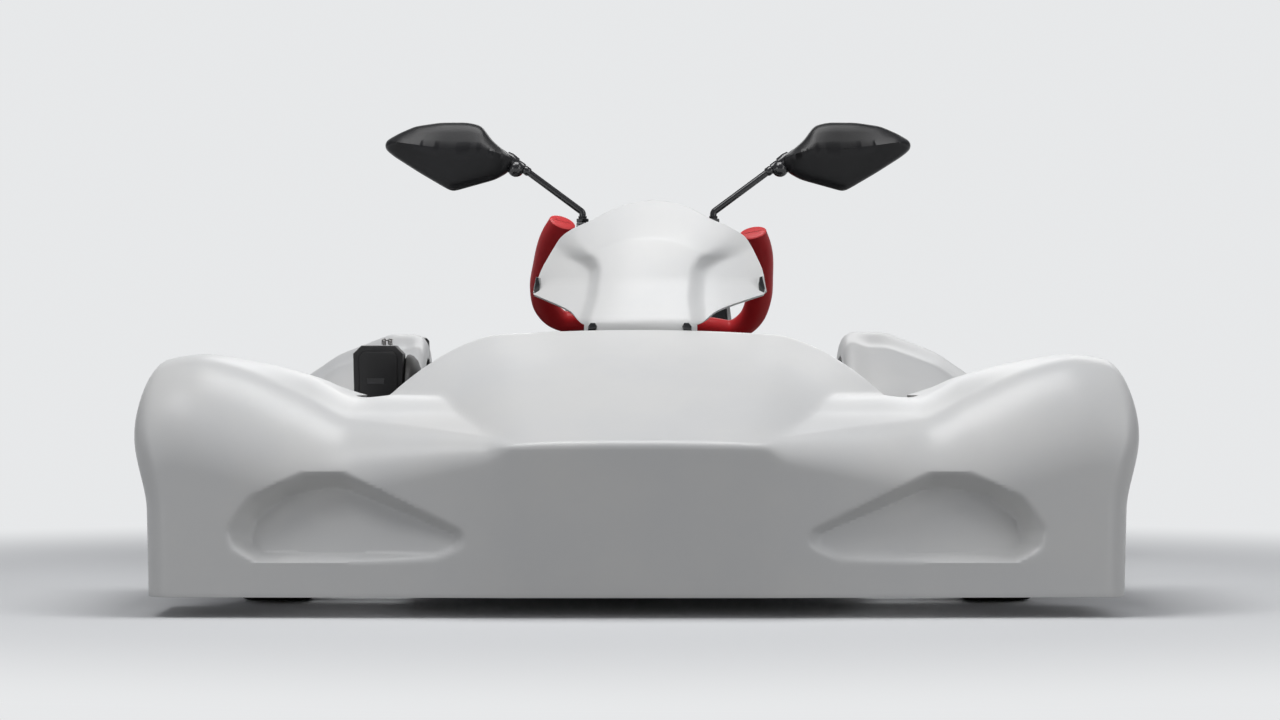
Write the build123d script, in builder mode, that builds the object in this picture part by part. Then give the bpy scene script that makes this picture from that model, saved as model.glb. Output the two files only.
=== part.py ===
from build123d import *
import os
from math import radians, sin, sqrt

# Open racing kart with a one-piece front cowl. Millimetres: +X is the driver's left, -Y is forward.
os.makedirs("parts", exist_ok=True)

# Overall places of the bodywork
nose_y = -880
tail_y = 880
hem_z = 27
shell_wall = 4
seat_gap = 0.3

# Wheels and axles
front_axle_y = -490
wheelbase = 1060
rear_axle_y = front_axle_y + wheelbase
front_tyre_r = 128
front_tyre_width = 120
front_wheel_x = 505
rear_tyre_r = 140
rear_tyre_width = 185
rear_wheel_x = 545
bead_r = 63.5
rim_wall = 4
flange_r = 70
spindle_r = 12.5
axle_r = 20
axle_half = 650
axle_end_r = 15
axle_end_length = 18
axle_bore_r = 10
run_fit = 0.05

# Frame tubes
rail_z = 60
rail_r = 15
hoop_r = 10
guard_r = 11
rail_bend = 80
tray_plate = 3

# Steering: kingpins stand upright and the column leans back at 45 degrees
kingpin_x = 430
kingpin_r = 6
yoke_half_height = 43
yoke_plate = 8
knuckle_arm = 95
knuckle_toe = 12
column_x = 26
mirror_middle_x = 16
fairing_x = 30
column_r = 10
column_foot = (column_x, front_axle_y, 130)
column_length = 476
support_at = 268.7
pitman_at = 49.5
pitman_reach = 45
pitman_half = 20
pitman_plate = 6
wheel_clocking = 4.3

# Seat, pedals and drive line
seat_x = 17
seat_wall = 6
bearing_x = 320
sprocket_x = -230
disc_x = 130
disc_r = 95
engine_y = 205


def save(part, name):
    part.label = name
    export_step(part, f"parts/{name}.step")


def save_pair(part, name, middle=0):
    save(part, f"{name}_left")
    save(mirror(part, about=Plane.YZ.offset(middle)), f"{name}_right")


def tube(points, bend, radius):
    with BuildPart() as pipe:
        with BuildLine() as route:
            FilletPolyline(*points, radius=bend)
        with BuildSketch(Plane(origin=route.line @ 0, z_dir=route.line % 0)):
            Circle(radius)
        sweep()
    return pipe.part


def rod(start, end, radius):
    run = Vector(*end) - Vector(*start)
    with BuildPart() as bar:
        with BuildSketch(Plane(origin=start, z_dir=run)):
            Circle(radius)
        extrude(amount=run.length)
    return bar.part


def section(y, x=0, z=0):
    return Plane(origin=(x, y, z), x_dir=(1, 0, 0), z_dir=(0, -1, 0))


def side_view(x):
    return Plane(origin=(x, 0, 0), x_dir=(0, 1, 0), z_dir=(1, 0, 0))


def both_sides(points):
    return list(points) + [(-x, z) for x, z in reversed(points)]


# Main rails: one bent tube each side, from the nose to behind the rear axle
RAIL = [(200, -760), (300, -640), (300, -430), (250, -250), (250, 120), (bearing_x, 330), (bearing_x, 710)]


def rail(radius):
    return tube([(x, y, rail_z) for x, y in RAIL], rail_bend, radius)


def rail_x(y):
    for (x0, y0), (x1, y1) in zip(RAIL, RAIL[1:]):
        if y0 <= y <= y1:
            return x0 + (x1 - x0) * (y - y0) / (y1 - y0)


with BuildPart() as main_rail_left:
    add(rail(rail_r))
save_pair(main_rail_left.part, "main_rail")

with BuildPart() as rail_clearance:
    add(rail(rail_r + seat_gap))
    mirror(about=Plane.YZ)

# Cross tubes, coped to the rails
cross_front_y, cross_middle_y, cross_rear_y = -650, -190, 685
with BuildPart() as cross_tubes:
    for y in (cross_front_y, cross_middle_y, cross_rear_y):
        add(rod((-rail_x(y), y, rail_z), (rail_x(y), y, rail_z), rail_r))
    add(rail_clearance.part, mode=Mode.SUBTRACT)
save(cross_tubes.part, "cross_tubes")

# Column line
column_axis = Vector(0, 1, 1).normalized()


def on_column(along):
    return Vector(*column_foot) + column_axis * along


def column_plane(along):
    return Plane(origin=on_column(along), x_dir=(-1, 0, 0), z_dir=column_axis)


def column_ring(along, length, radius):
    with BuildPart() as ring:
        with BuildSketch(column_plane(along - length / 2)):
            Circle(radius)
        extrude(amount=length)
    return ring.part


# Front axle beam: centre tube with the column foot, and a stub with a C-shaped yoke on each side
yoke_back = kingpin_x - 32
yoke_width = 32
middle_x = rail_x(front_axle_y)
with BuildPart() as yoke:
    add(rod((middle_x, front_axle_y, rail_z), (yoke_back + 6, front_axle_y, front_tyre_r - 20), rail_r - 1))
    with BuildSketch(section(front_axle_y)):
        with Locations((yoke_back + yoke_plate / 2, front_tyre_r)):
            Rectangle(yoke_plate, 2 * yoke_half_height)
    extrude(amount=yoke_width / 2, both=True)
    for low in (-yoke_half_height, yoke_half_height - yoke_plate):
        with BuildSketch(Plane.XY.offset(front_tyre_r + low)):
            with Locations(((yoke_back + kingpin_x) / 2, front_axle_y)):
                Rectangle(kingpin_x - yoke_back, yoke_width)
            with Locations((kingpin_x, front_axle_y)):
                Circle(yoke_width / 2)
        extrude(amount=yoke_plate)
    with BuildSketch(Plane.XY.offset(front_tyre_r - yoke_half_height - 7)):
        with Locations((kingpin_x, front_axle_y)):
            Circle(kingpin_r)
    extrude(amount=2 * yoke_half_height + 14)
    for z in (front_tyre_r - yoke_half_height - 7, front_tyre_r + yoke_half_height):
        with BuildSketch(Plane.XY.offset(z)):
            with Locations((kingpin_x, front_axle_y)):
                RegularPolygon(10, 6)
        extrude(amount=7)

with BuildPart() as front_axle_beam:
    add(rod((-middle_x, front_axle_y, rail_z), (middle_x, front_axle_y, rail_z), rail_r))
    with BuildSketch(Plane.XY.offset(rail_z)):
        with Locations((column_x, front_axle_y)):
            Rectangle(10, 24)
    extrude(amount=column_foot[2] - 18 - rail_z)
    add(column_ring(0, 22, 17))
    add(column_ring(0, 80, column_r + run_fit), mode=Mode.SUBTRACT)
    add(yoke.part)
    add(mirror(yoke.part, about=Plane.YZ))
    add(rail_clearance.part, mode=Mode.SUBTRACT)
save(front_axle_beam.part, "front_axle_beam")

# Floor tray, under the rails from the nose to the seat
tray_top = rail_z - rail_r - seat_gap
with BuildPart() as floor_tray:
    with BuildSketch(Plane.XY.offset(tray_top - tray_plate)):
        Polygon(*both_sides(RAIL[:4] + [(RAIL[4][0], cross_middle_y + 10)]), align=None)
    extrude(amount=tray_plate)
save(floor_tray.part, "floor_tray")

# Front cowl: wheel humps and dips, then the hood between them, both cut to the plan outline
BASE = [
    # back from the nose, bulge (x, z), corner, top, shoulder, slope, dip, root under the hood
    (-20, 648, 150, 640, 240, 612, 245, 560, 235, 440, 212, 378, 209, 330, 212),
    (60, 658, 200, 641, 297, 612, 302, 560, 290, 440, 250, 378, 238, 330, 240),
    (135, 663, 225, 642, 322, 610, 330, 560, 320, 440, 282, 378, 264, 330, 266),
    (230, 668, 245, 641, 336, 608, 346, 560, 341, 440, 310, 378, 286, 330, 290),
    (545, 668, 235, 641, 322, 608, 331, 560, 327, 440, 302, 378, 286, 330, 290),
]
HOOD = [
    # back from the nose, crease (x, z), crown, side middle (x, z), foot (x, z), low z
    (-20, 114, 210, 2, 141, 208, 167, 203, 180),
    (160, 163, 309, 3, 214, 283, 262, 246, 215),
    (335, 200, 373, 7, 276, 341, 341, 292, 240),
]
PLAN = [
    # z, centre y and half, turn (x, y), flank start, flank end, corner, side; y back from the nose
    (10, 24, 165, 198, 27, 232, 30, 606, 38, 632, 48, 641, 74),
    (226, 0, 165, 200, 12, 236, 28, 606, 42, 632, 53, 641, 80),
    (420, -22, 165, 202, -3, 240, 26, 606, 46, 632, 58, 641, 86),
]
blade_half = BASE[0][1] - 8
plan_half = max(row[1] for row in BASE) + 8
hood_edge_y = nose_y + HOOD[-1][0]
cowl_back_y = nose_y + BASE[-1][0]
foot_well_half = 392
arch_r = 170
past = 60


def cowl_base(inset):
    with BuildPart() as body:
        for back, *columns in BASE:
            bulge, corner, top, shoulder, slope, dip, root = zip(columns[::2], columns[1::2])
            low = -20 if inset else hem_z
            y = nose_y + back
            if inset and back == BASE[-1][0]:
                y += past
            bulge = (bulge[0] - inset, bulge[1])
            corner = (corner[0] - inset, corner[1] - inset)
            top, shoulder, slope, dip, root = ((x, z - inset) for x, z in (top, shoulder, slope, dip, root))
            turn = (0.28 * corner[0] + 0.72 * bulge[0], 0.5 * (corner[1] + bulge[1]) + 2.5)
            with BuildSketch(section(y)):
                with BuildLine():
                    for side in (1, -1):
                        Line((0, low), (side * (blade_half - inset), low))
                        Line((side * (blade_half - inset), low), (side * bulge[0], bulge[1]))
                        for start, middle, end in ((bulge, turn, corner), (corner, top, shoulder), (slope, dip, root)):
                            ThreePointArc(*[(side * x, z) for x, z in (start, middle, end)])
                        Line((side * shoulder[0], shoulder[1]), (side * slope[0], slope[1]))
                        Line((side * root[0], root[1]), (0, root[1]))
                make_face()
        loft(ruled=True)
    return body.part


def cowl_hood(inset):
    slope_per_mm = (HOOD[-1][2] - HOOD[-2][2]) / (HOOD[-1][0] - HOOD[-2][0])
    with BuildPart() as body:
        for back, crease_x, crease_z, crown, side_x, side_z, foot_x, foot_z, low in HOOD:
            run = past if inset and back == HOOD[-1][0] else 0
            lift = run * slope_per_mm
            crease = (crease_x - 0.3 * inset, crease_z - inset + lift)
            side = (side_x - 0.7 * inset, side_z - 0.8 * inset + lift)
            foot = (foot_x - inset, foot_z - 0.3 * inset + lift)
            with BuildSketch(section(nose_y + back + run)):
                with BuildLine():
                    ThreePointArc((-crease[0], crease[1]), (0, crease[1] + crown), crease)
                    for sign in (1, -1):
                        ThreePointArc(*[(sign * x, z) for x, z in (crease, side, foot)])
                        Polyline((sign * foot[0], foot[1]), (sign * foot[0], low - inset), (0, low - inset))
                make_face()
        loft(ruled=True)
    return body.part


def cowl_plan(inset):
    with BuildPart() as body:
        for z, centre_back, centre_half, *columns in PLAN:
            turn, start, end, corner, side = zip(columns[::2], columns[1::2])
            turn, start, end = ((x, nose_y + back + inset) for x, back in (turn, start, end))
            corner = (corner[0] - 0.7 * inset, nose_y + corner[1] + 0.7 * inset)
            side = (side[0] - inset, nose_y + side[1])
            centre = (centre_half, nose_y + centre_back + inset)
            rear = cowl_back_y + 2 * past
            with BuildSketch(Plane.XY.offset(z)):
                with BuildLine():
                    Line((-centre[0], centre[1]), centre)
                    Line((-(plan_half - inset), rear), (plan_half - inset, rear))
                    for sign in (1, -1):
                        ThreePointArc(*[(sign * x, y) for x, y in (centre, turn, start)])
                        Line(*[(sign * x, y) for x, y in (start, end)])
                        ThreePointArc(*[(sign * x, y) for x, y in (end, corner, side)])
                        wall = [side, (plan_half - inset, nose_y + 190), (plan_half - inset, rear)]
                        Polyline(*[(sign * x, y) for x, y in wall])
                make_face()
        loft(ruled=True)
    return body.part


# Lamp-shaped recesses, left empty as on the kart shown
MOUTH = [(262, 69), (505, 72), (532, 96), (524, 140), (490, 178), (438, 200), (384, 199), (222, 119)]
FLOOR = [(278, 86), (484, 90), (502, 104), (496, 128), (468, 156), (430, 170), (372, 171), (242, 104)]
recess_floor = 58


def recesses(grow):
    with BuildPart() as pocket:
        for outline, back, corner in ((MOUTH, 4, 17), (FLOOR, recess_floor + grow, 11)):
            with BuildSketch(section(nose_y + back)) as face:
                Polygon(*outline, align=None)
                fillet(face.vertices(), corner)
                if grow:
                    offset(amount=grow)
        loft()
        mirror(about=Plane.YZ)
    return pocket.part


def cowl_solid(inset):
    plan = cowl_plan(inset)
    with BuildPart() as hood:
        add(cowl_hood(inset))
        add(plan, mode=Mode.INTERSECT)
    with BuildPart() as body:
        add(cowl_base(inset))
        add(plan, mode=Mode.INTERSECT)
        add(hood.part)
        add(recesses(inset), mode=Mode.SUBTRACT)
    return body.part


with BuildPart() as front_cowl:
    add(cowl_solid(0))
    add(cowl_solid(shell_wall), mode=Mode.SUBTRACT)
    with BuildSketch(Plane.XY):
        with Locations((0, hood_edge_y + past * 2)):
            Rectangle(2 * foot_well_half, past * 4)
    extrude(amount=600, mode=Mode.SUBTRACT)
    with BuildSketch(side_view(0)):
        with Locations((front_axle_y, front_tyre_r)):
            Circle(arch_r)
    extrude(amount=2 * plan_half, both=True, mode=Mode.SUBTRACT)
save(front_cowl.part, "front_cowl")

# Front hoop: from the rail ends to the back of the cowl's centre panel
hoop_z = 120
hoop_half = 178
lean = (PLAN[0][1] - PLAN[1][1]) / (PLAN[1][0] - PLAN[0][0])
panel_back_y = nose_y + PLAN[0][1] - lean * (hoop_z - PLAN[0][0]) + shell_wall
hoop_y = panel_back_y + (hoop_r + seat_gap) * sqrt(1 + lean**2)
nose_run = Vector(RAIL[0][0] - RAIL[1][0], RAIL[0][1] - RAIL[1][1], 0).normalized()
hoop_start = Vector(*RAIL[0], rail_z) + nose_run * seat_gap
hoop_turn = hoop_start + nose_run * 30
with BuildPart() as front_hoop:
    left = [hoop_start, hoop_turn, Vector(hoop_half, hoop_y, hoop_z)]
    right = [Vector(-p.X, p.Y, p.Z) for p in reversed(left)]
    add(tube(left + right, (20, 30, 30, 20), hoop_r))
save(front_hoop.part, "front_hoop")

# Side pods: open below and towards the frame, over a guard tube
pod_inner_x, pod_outer_x = 470, 645
hem_lean = 5
POD = [
    # y, inner edge z, top shoulder (x, z), bulge z, outer hem z
    (-300, 128, 575, 128, 96, 46),
    (-250, 182, 596, 180, 120, 40),
    (330, 207, 600, 205, 132, 40),
    (405, 200, 598, 198, 128, 46),
]


def pod_solid(inset):
    with BuildPart() as body:
        for y, inner_z, top_x, top_z, bulge_z, low in POD:
            if y == POD[0][0]:
                y += inset
            if y == POD[-1][0]:
                y -= inset
            near = pod_inner_x - 40 * (inset > 0)
            outer = pod_outer_x - inset
            below = -10 if inset else low
            with BuildSketch(section(y)):
                with BuildLine():
                    Polyline((near, below), (near, inner_z - inset), (top_x - inset / 2, top_z - inset))
                    turn = (0.35 * top_x + 0.65 * outer, 0.62 * top_z + 0.38 * bulge_z)
                    ThreePointArc((top_x - inset / 2, top_z - inset), turn, (outer, bulge_z))
                    hem_x = outer - hem_lean * (bulge_z - below) / (bulge_z - low)
                    Polyline((outer, bulge_z), (hem_x, below), (near, below))
                make_face()
        loft(ruled=True)
    return body.part


with BuildPart() as side_pod_left:
    add(pod_solid(0))
    add(pod_solid(shell_wall), mode=Mode.SUBTRACT)
save_pair(side_pod_left.part, "side_pod")

lean_at_guard = hem_lean * (POD[2][4] - rail_z) / (POD[2][4] - POD[2][5])
guard_x = pod_outer_x - shell_wall - lean_at_guard - seat_gap - guard_r
guard_front_y, guard_rear_y = POD[0][0] + 40, POD[-1][0] - 50
with BuildPart() as side_guard_left:
    route = [(rail_x(-200), -200, rail_z), (guard_x, guard_front_y, rail_z), (guard_x, guard_rear_y, rail_z)]
    route += [(rail_x(375), 375, rail_z)]
    add(tube(route, 55, guard_r))
    add(rail_clearance.part, mode=Mode.SUBTRACT)
save_pair(side_guard_left.part, "side_guard")

# Rear fenders: a shell over each rear tyre, open below, with an upright flange on the inside
FENDER = [
    # y, crest z, shoulder z, waist z, outer z, flange bottom z
    (409, 240, 226, 216, 206, 200),
    (440, 318, 300, 262, 250, 262),
    (490, 372, 342, 285, 280, 322),
    (570, 386, 351, 296, 290, 345),
    (650, 376, 345, 292, 286, 334),
    (738, 330, 312, 280, 270, 288),
]
fender_inner_x, fender_outer_x = 346, 668


def fender_solid(inset):
    with BuildPart() as body:
        for y, crest, shoulder, waist, outer, flange in FENDER:
            if inset and y in (FENDER[0][0], FENDER[-1][0]):
                y += 40 if y == FENDER[-1][0] else -40
            inner_x = fender_inner_x + inset
            outer_x = fender_outer_x - inset
            low = -120 if inset > 0 else -60 if inset else 0
            top = [(inner_x + 14, crest - inset), (420, crest - inset), (509, shoulder - inset)]
            top += [(590, waist - inset), (outer_x - 8, outer - inset), (outer_x, outer - 16)]
            with BuildSketch(section(y)):
                with BuildLine():
                    Polyline((inner_x, flange + low), (inner_x, crest - inset - 14), top[0])
                    Polyline(*top, (outer_x, outer - 36 + low), (inner_x, flange + low))
                make_face()
        loft(ruled=True)
    return body.part


with BuildPart() as rear_fender_left:
    add(fender_solid(0))
    add(fender_solid(shell_wall), mode=Mode.SUBTRACT)
save_pair(rear_fender_left.part, "rear_fender")

# Rear bumper cover: closed at the back, top and ends
cover_half, cover_front_y = 640, tail_y - 145
plate_hole_r = 3


def cover_solid(inset):
    back, front = tail_y - inset, cover_front_y - 4 * inset
    low = 70 - 20 * inset
    with BuildPart() as block:
        with BuildSketch(side_view(0)):
            Polygon((front, 250 - inset), (back - 45, 252 - inset), (back, 205), (back, 105), (back - 18, low),
                    (front, low), align=None)
        extrude(amount=cover_half - inset, both=True)
        with BuildSketch(Plane.XY.offset(low)):
            with Locations((0, (back + front) / 2)):
                Rectangle(2 * (cover_half - inset), back - front)
            fillet(vertices().group_by(Axis.Y)[-1], 60 - inset)
        extrude(amount=300 - low, mode=Mode.INTERSECT)
    return block.part


with BuildPart() as rear_bumper_cover:
    add(cover_solid(0))
    add(cover_solid(shell_wall), mode=Mode.SUBTRACT)
    with BuildSketch(section(tail_y)):
        with Locations((0, 160)):
            with GridLocations(200, 70, 2, 2):
                Circle(plate_hole_r)
    extrude(amount=2 * shell_wall, both=True, mode=Mode.SUBTRACT)
save(rear_bumper_cover.part, "rear_bumper_cover")

with BuildPart() as fender_clearance:
    add(fender_solid(-seat_gap))
    add(fender_solid(shell_wall + seat_gap), mode=Mode.SUBTRACT)
    mirror(about=Plane.YZ)

# Rear bumper tube with the two posts that carry the fenders
bumper_y = tail_y - shell_wall - seat_gap - hoop_r
post_top = FENDER[3][1] - shell_wall - 5
with BuildPart() as rear_bumper_frame:
    half = [(bearing_x, RAIL[-1][1] + seat_gap, rail_z), (bearing_x, RAIL[-1][1] + 60, rail_z)]
    half += [(bearing_x, bumper_y, 150)]
    add(tube(half + [(-x, y, z) for x, y, z in reversed(half)], 40, hoop_r))
    for side in (1, -1):
        foot = (side * bearing_x, RAIL[-1][1] + 40, rail_z)
        knee = (side * (fender_inner_x + 17), rear_axle_y + 70, 205)
        add(tube([foot, knee, (side * (fender_inner_x + 19), rear_axle_y + 30, post_top)], 60, 8))
    add(fender_clearance.part, mode=Mode.SUBTRACT)
save(rear_bumper_frame.part, "rear_bumper_frame")

# Seat: a moulded bucket, low in front and high behind
SEAT = [
    # z, half width, front y, back y, corner
    (50, 140, -60, 205, 60),
    (85, 182, -125, 250, 75),
    (200, 190, -150, 290, 85),
    (300, 172, -120, 322, 85),
    (400, 135, -60, 350, 70),
    (505, 122, 40, 378, 60),
]


def seat_solid(inset):
    with BuildPart() as body:
        for z, half, front, back, corner in SEAT:
            if inset > 0 and z == SEAT[0][0]:
                z += inset
            if inset > 0 and z == SEAT[-1][0]:
                z += 40
            with BuildSketch(Plane.XY.offset(z)):
                with Locations((seat_x, (front + back) / 2)):
                    RectangleRounded(2 * (half - inset), back - front - 2 * inset, corner - inset)
        loft(ruled=True)
    return body.part


with BuildPart() as seat:
    add(seat_solid(0))
    add(seat_solid(seat_wall), mode=Mode.SUBTRACT)
    with BuildSketch(side_view(seat_x)):
        with BuildLine():
            Polyline((-400, 90), (-150, 118), (-95, 150))
            Spline((-95, 150), (40, 205), (160, 300), (250, 480), tangents=((0.9, 0.45), (0.35, 0.95)))
            Polyline((250, 480), (290, 600), (-400, 600), (-400, 90))
        make_face()
    extrude(amount=300, both=True, mode=Mode.SUBTRACT)
save(seat.part, "seat")

# Seat stays: two tabs on the rails in front, two struts from the bearing carriers behind
tab_plate = 5
stay_half, stay_y, stay_z = 110, 320, 330
tab_z = rail_z + rail_r + seat_gap
carrier_r = 40
with BuildPart() as seat_stays:
    for side in (1, -1):
        with BuildSketch(Plane.XY.offset(tab_z)):
            with Locations((side * 190, 0)):
                Rectangle(140, 30)
        extrude(amount=tab_plate)
        foot = (side * bearing_x, rear_axle_y, rear_tyre_r + carrier_r - 6)
        add(rod(foot, (seat_x + side * stay_half, stay_y, stay_z), 8))
    add(rod((-2 * bearing_x, rear_axle_y, rear_tyre_r), (2 * bearing_x, rear_axle_y, rear_tyre_r),
            carrier_r + seat_gap), mode=Mode.SUBTRACT)
    add(seat_solid(-seat_gap), mode=Mode.SUBTRACT)
save(seat_stays.part, "seat_stays")

# Steering fairing: a thin sheet leaning back, with a proud column down its middle, yawed a little
fairing_y = -330
fairing_yaw = -7.5
bar_z = 529
bar_r = 8
SHEET = [
    # z, centre, edge; back from the mirror bar
    (330, -194, -166),
    (391, -193, -150),
    (450, -140, -70),
    (517, -92, -20),
    (575, -44, 10),
]
WINGS = [(80, 330), (80, 388), (104, 407), (147, 425), (166, 432), (162, 461), (153, 482), (131, 517)]
WINGS += [(84, 541), (36, 563)]
COLUMN = [(76, 330), (76, 392), (72, 494), (48, 512)]
column_rise = 12
column_top_z = 520
fairing_top_z = 569
sheet_half = 180
fairing_frame = Plane(origin=(fairing_x, fairing_y, 0)).rotated((0, 0, fairing_yaw))


def fairing_sheet(shift, thick):
    with BuildPart() as sheet:
        for z, centre, edge in SHEET:
            front, back = shift, shift + thick
            with BuildSketch(fairing_frame.offset(z)):
                with BuildLine():
                    for step in (front, back):
                        ThreePointArc((-sheet_half, edge + step), (0, centre + step), (sheet_half, edge + step))
                    for x in (-sheet_half, sheet_half):
                        Line((x, edge + front), (x, edge + back))
                make_face()
        loft(ruled=True)
    return sheet.part


def fairing_outline(points, top_z, inset=0):
    face = Plane(origin=fairing_frame.origin, x_dir=fairing_frame.x_dir, z_dir=-fairing_frame.y_dir)
    with BuildPart() as block:
        with BuildSketch(face):
            left = [(-x, z) for x, z in reversed(points)]
            Polygon(*points, (0, top_z), *left, align=None)
            if inset:
                offset(amount=-inset, kind=Kind.INTERSECTION)
        extrude(amount=300, both=True)
    return block.part


def fairing_column(inset):
    with BuildPart() as block:
        add(fairing_sheet(inset - column_rise, column_rise + shell_wall))
        add(fairing_outline(COLUMN, column_top_z, inset), mode=Mode.INTERSECT)
    return block.part


with BuildPart() as steering_fairing:
    add(fairing_sheet(0, shell_wall))
    add(fairing_outline(WINGS, fairing_top_z), mode=Mode.INTERSECT)
    add(fairing_column(0))
    add(fairing_column(shell_wall), mode=Mode.SUBTRACT)
save(steering_fairing.part, "steering_fairing")

# Steering support: two legs from the beam, the upper bearing, and the post and bar for mirrors and fairing
bar_half = 104
with BuildPart() as steering_support:
    for side in (1, -1):
        leg = [(side * 120, front_axle_y, rail_z), (side * 108, front_axle_y, 175)]
        leg += [(column_x + side * 17, -300, 320)]
        add(tube(leg, 30, 9))
    beam_clearance = rod((-200, front_axle_y, rail_z), (200, front_axle_y, rail_z), rail_r + seat_gap)
    add(beam_clearance, mode=Mode.SUBTRACT)
    add(column_ring(support_at, 40, 23))
    add(tube([(column_x, -318, 320), (column_x, fairing_y, 400), (column_x, fairing_y, bar_z)], 40, 9))
    add(rod((mirror_middle_x - bar_half, fairing_y, bar_z), (mirror_middle_x + bar_half, fairing_y, bar_z), bar_r))
    for x in (-60, 60):
        start, end = (fairing_frame.from_local_coords((x, back, bar_z)) for back in (8, -82))
        add(rod(start, end, 7))
    add(fairing_sheet(-seat_gap - 20, 20 + shell_wall + 2 * seat_gap), mode=Mode.SUBTRACT)
    add(column_ring(support_at, 120, column_r + run_fit), mode=Mode.SUBTRACT)
save(steering_support.part, "steering_support")

# Steering column with the pitman plate at its foot and the flange for the wheel
with BuildPart() as steering_column:
    add(rod(on_column(-14), on_column(column_length), column_r))
    with BuildSketch(column_plane(pitman_at - pitman_plate / 2)) as plate:
        for side in (1, -1):
            with Locations((side * pitman_half, -pitman_reach)):
                Circle(11)
        Circle(18)
        make_hull()
    extrude(amount=pitman_plate)
    for side in (1, -1):
        with BuildSketch(column_plane(pitman_at + pitman_plate / 2)):
            with Locations((side * pitman_half, -pitman_reach)):
                RegularPolygon(7, 6)
        extrude(amount=6)
    for along, length, radius in ((14, 6, 14), (support_at + 24, 6, 15), (column_length - 8, 8, 28)):
        add(column_ring(along + length / 2, length, radius))
save(steering_column.part, "steering_column")

# Steering wheel, open at the top, clocked a little on its hub
wheel_seat = column_length + seat_gap
rim_offset = 30
RIM = [(142, 128), (158, 60), (160, -20), (140, -92), (84, -136), (0, -142)]
GRIP = (20, 13.5)
with BuildPart() as steering_wheel:
    wheel_plane = column_plane(wheel_seat + rim_offset).rotated((0, 0, wheel_clocking))
    with BuildLine(wheel_plane) as rim_line:
        Spline(*[(-x, y) for x, y in RIM], *reversed(RIM[:-1]))
    with BuildSketch(Plane(origin=rim_line.line @ 0, x_dir=wheel_plane.x_dir, z_dir=rim_line.line % 0)):
        Ellipse(*GRIP)
    sweep()
    with BuildSketch(column_plane(wheel_seat)):
        Circle(30)
    extrude(amount=rim_offset - 6)
    with BuildSketch(wheel_plane.offset(-6)):
        Circle(48)
        for angle, length in ((-12, 154), (192, 154), (270, 138)):
            with Locations(Location((0, 0, 0), (0, 0, angle))):
                with Locations((length / 2, 0)):
                    Rectangle(length, 34)
    extrude(amount=5)
save(steering_wheel.part, "steering_wheel")

# Mirrors: foot on the bar, bent stalk, collar and a faceted head open to the rear for the glass
mirror_foot_x = 95
HEAD = [(194, 616), (212, 603), (281, 585), (328, 612), (379, 645), (366, 670), (318, 684), (262, 682), (216, 651)]
head_middle = (285, 637)
glass_plate = 2
head_depth = 48


def head_outline(y, scale, inset=0):
    with BuildSketch(section(y)) as outline:
        middle_x, middle_z = head_middle
        points = [(middle_x + scale * (x - middle_x), middle_z + scale * (z - middle_z)) for x, z in HEAD]
        Polygon(*[(mirror_middle_x + x, z) for x, z in points], align=None)
        fillet(outline.vertices(), 7)
        if inset:
            offset(amount=-inset)
    return outline.sketch


mirror_back_y = fairing_y + head_depth / 2
with BuildPart() as mirror_left:
    outlines = ((fairing_y - head_depth / 2, 0.72), (fairing_y - 6, 1), (mirror_back_y, 0.985))
    loft([head_outline(y, scale).face() for y, scale in outlines], ruled=True)
    extrude(head_outline(mirror_back_y, 0.985, 5), amount=3, dir=(0, -1, 0), mode=Mode.SUBTRACT)
    foot = (mirror_middle_x + mirror_foot_x, fairing_y)
    add(rod((*foot, bar_z + bar_r + seat_gap), (*foot, 552), 10))
    add(tube([(*foot, 548), (*foot, 566), (mirror_middle_x + 206, fairing_y, 616)], 12, 5))
    with Locations((mirror_middle_x + 201, fairing_y, 614)):
        Sphere(9)
save_pair(mirror_left.part, "mirror", mirror_middle_x)

with BuildPart() as mirror_glasses:
    extrude(head_outline(mirror_back_y - 0.6, 0.985, 5 + seat_gap), amount=glass_plate, dir=(0, -1, 0))
    mirror(about=Plane.YZ.offset(mirror_middle_x))
save(mirror_glasses.part, "mirror_glasses")

# Front wheels: knuckle on the kingpin, rim on its spindle, tyre on the rim
barrel_r = 13
hub_inner_x, hub_outer_x = front_wheel_x - 40, front_wheel_x + 35
arm_z = front_tyre_r - 22
arm_plate = 8
pin_r = 5
eye_r = 11
with BuildPart() as knuckle_left:
    with BuildSketch(Plane.XY.offset(front_tyre_r - yoke_half_height + yoke_plate + 0.5)):
        with Locations((kingpin_x, front_axle_y)):
            Circle(barrel_r)
    extrude(amount=2 * (yoke_half_height - yoke_plate - 0.5))
    add(rod((kingpin_x, front_axle_y, front_tyre_r), (hub_inner_x - 0.5, front_axle_y, front_tyre_r), 17))
    add(rod((kingpin_x, front_axle_y, front_tyre_r), (hub_outer_x + 16, front_axle_y, front_tyre_r), spindle_r))
    with BuildSketch(Plane(origin=(hub_outer_x + 0.5, front_axle_y, front_tyre_r), z_dir=(1, 0, 0))):
        RegularPolygon(18, 6)
    extrude(amount=12)
    arm_end = (kingpin_x - knuckle_toe, front_axle_y + knuckle_arm)
    with BuildSketch(Plane.XY.offset(arm_z)):
        with Locations((kingpin_x, front_axle_y)):
            Circle(barrel_r)
        with Locations(arm_end):
            Circle(9)
        make_hull()
    extrude(amount=arm_plate)
    add(rod((*arm_end, arm_z), (*arm_end, arm_z + arm_plate + 22), pin_r))
    add(rod((*arm_end, arm_z + arm_plate + 15), (*arm_end, arm_z + arm_plate + 21), 8))
    with BuildSketch(Plane.XY):
        with Locations((kingpin_x, front_axle_y)):
            Circle(kingpin_r + run_fit)
    extrude(amount=2 * front_tyre_r, mode=Mode.SUBTRACT)
save_pair(knuckle_left.part, "knuckle")

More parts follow.
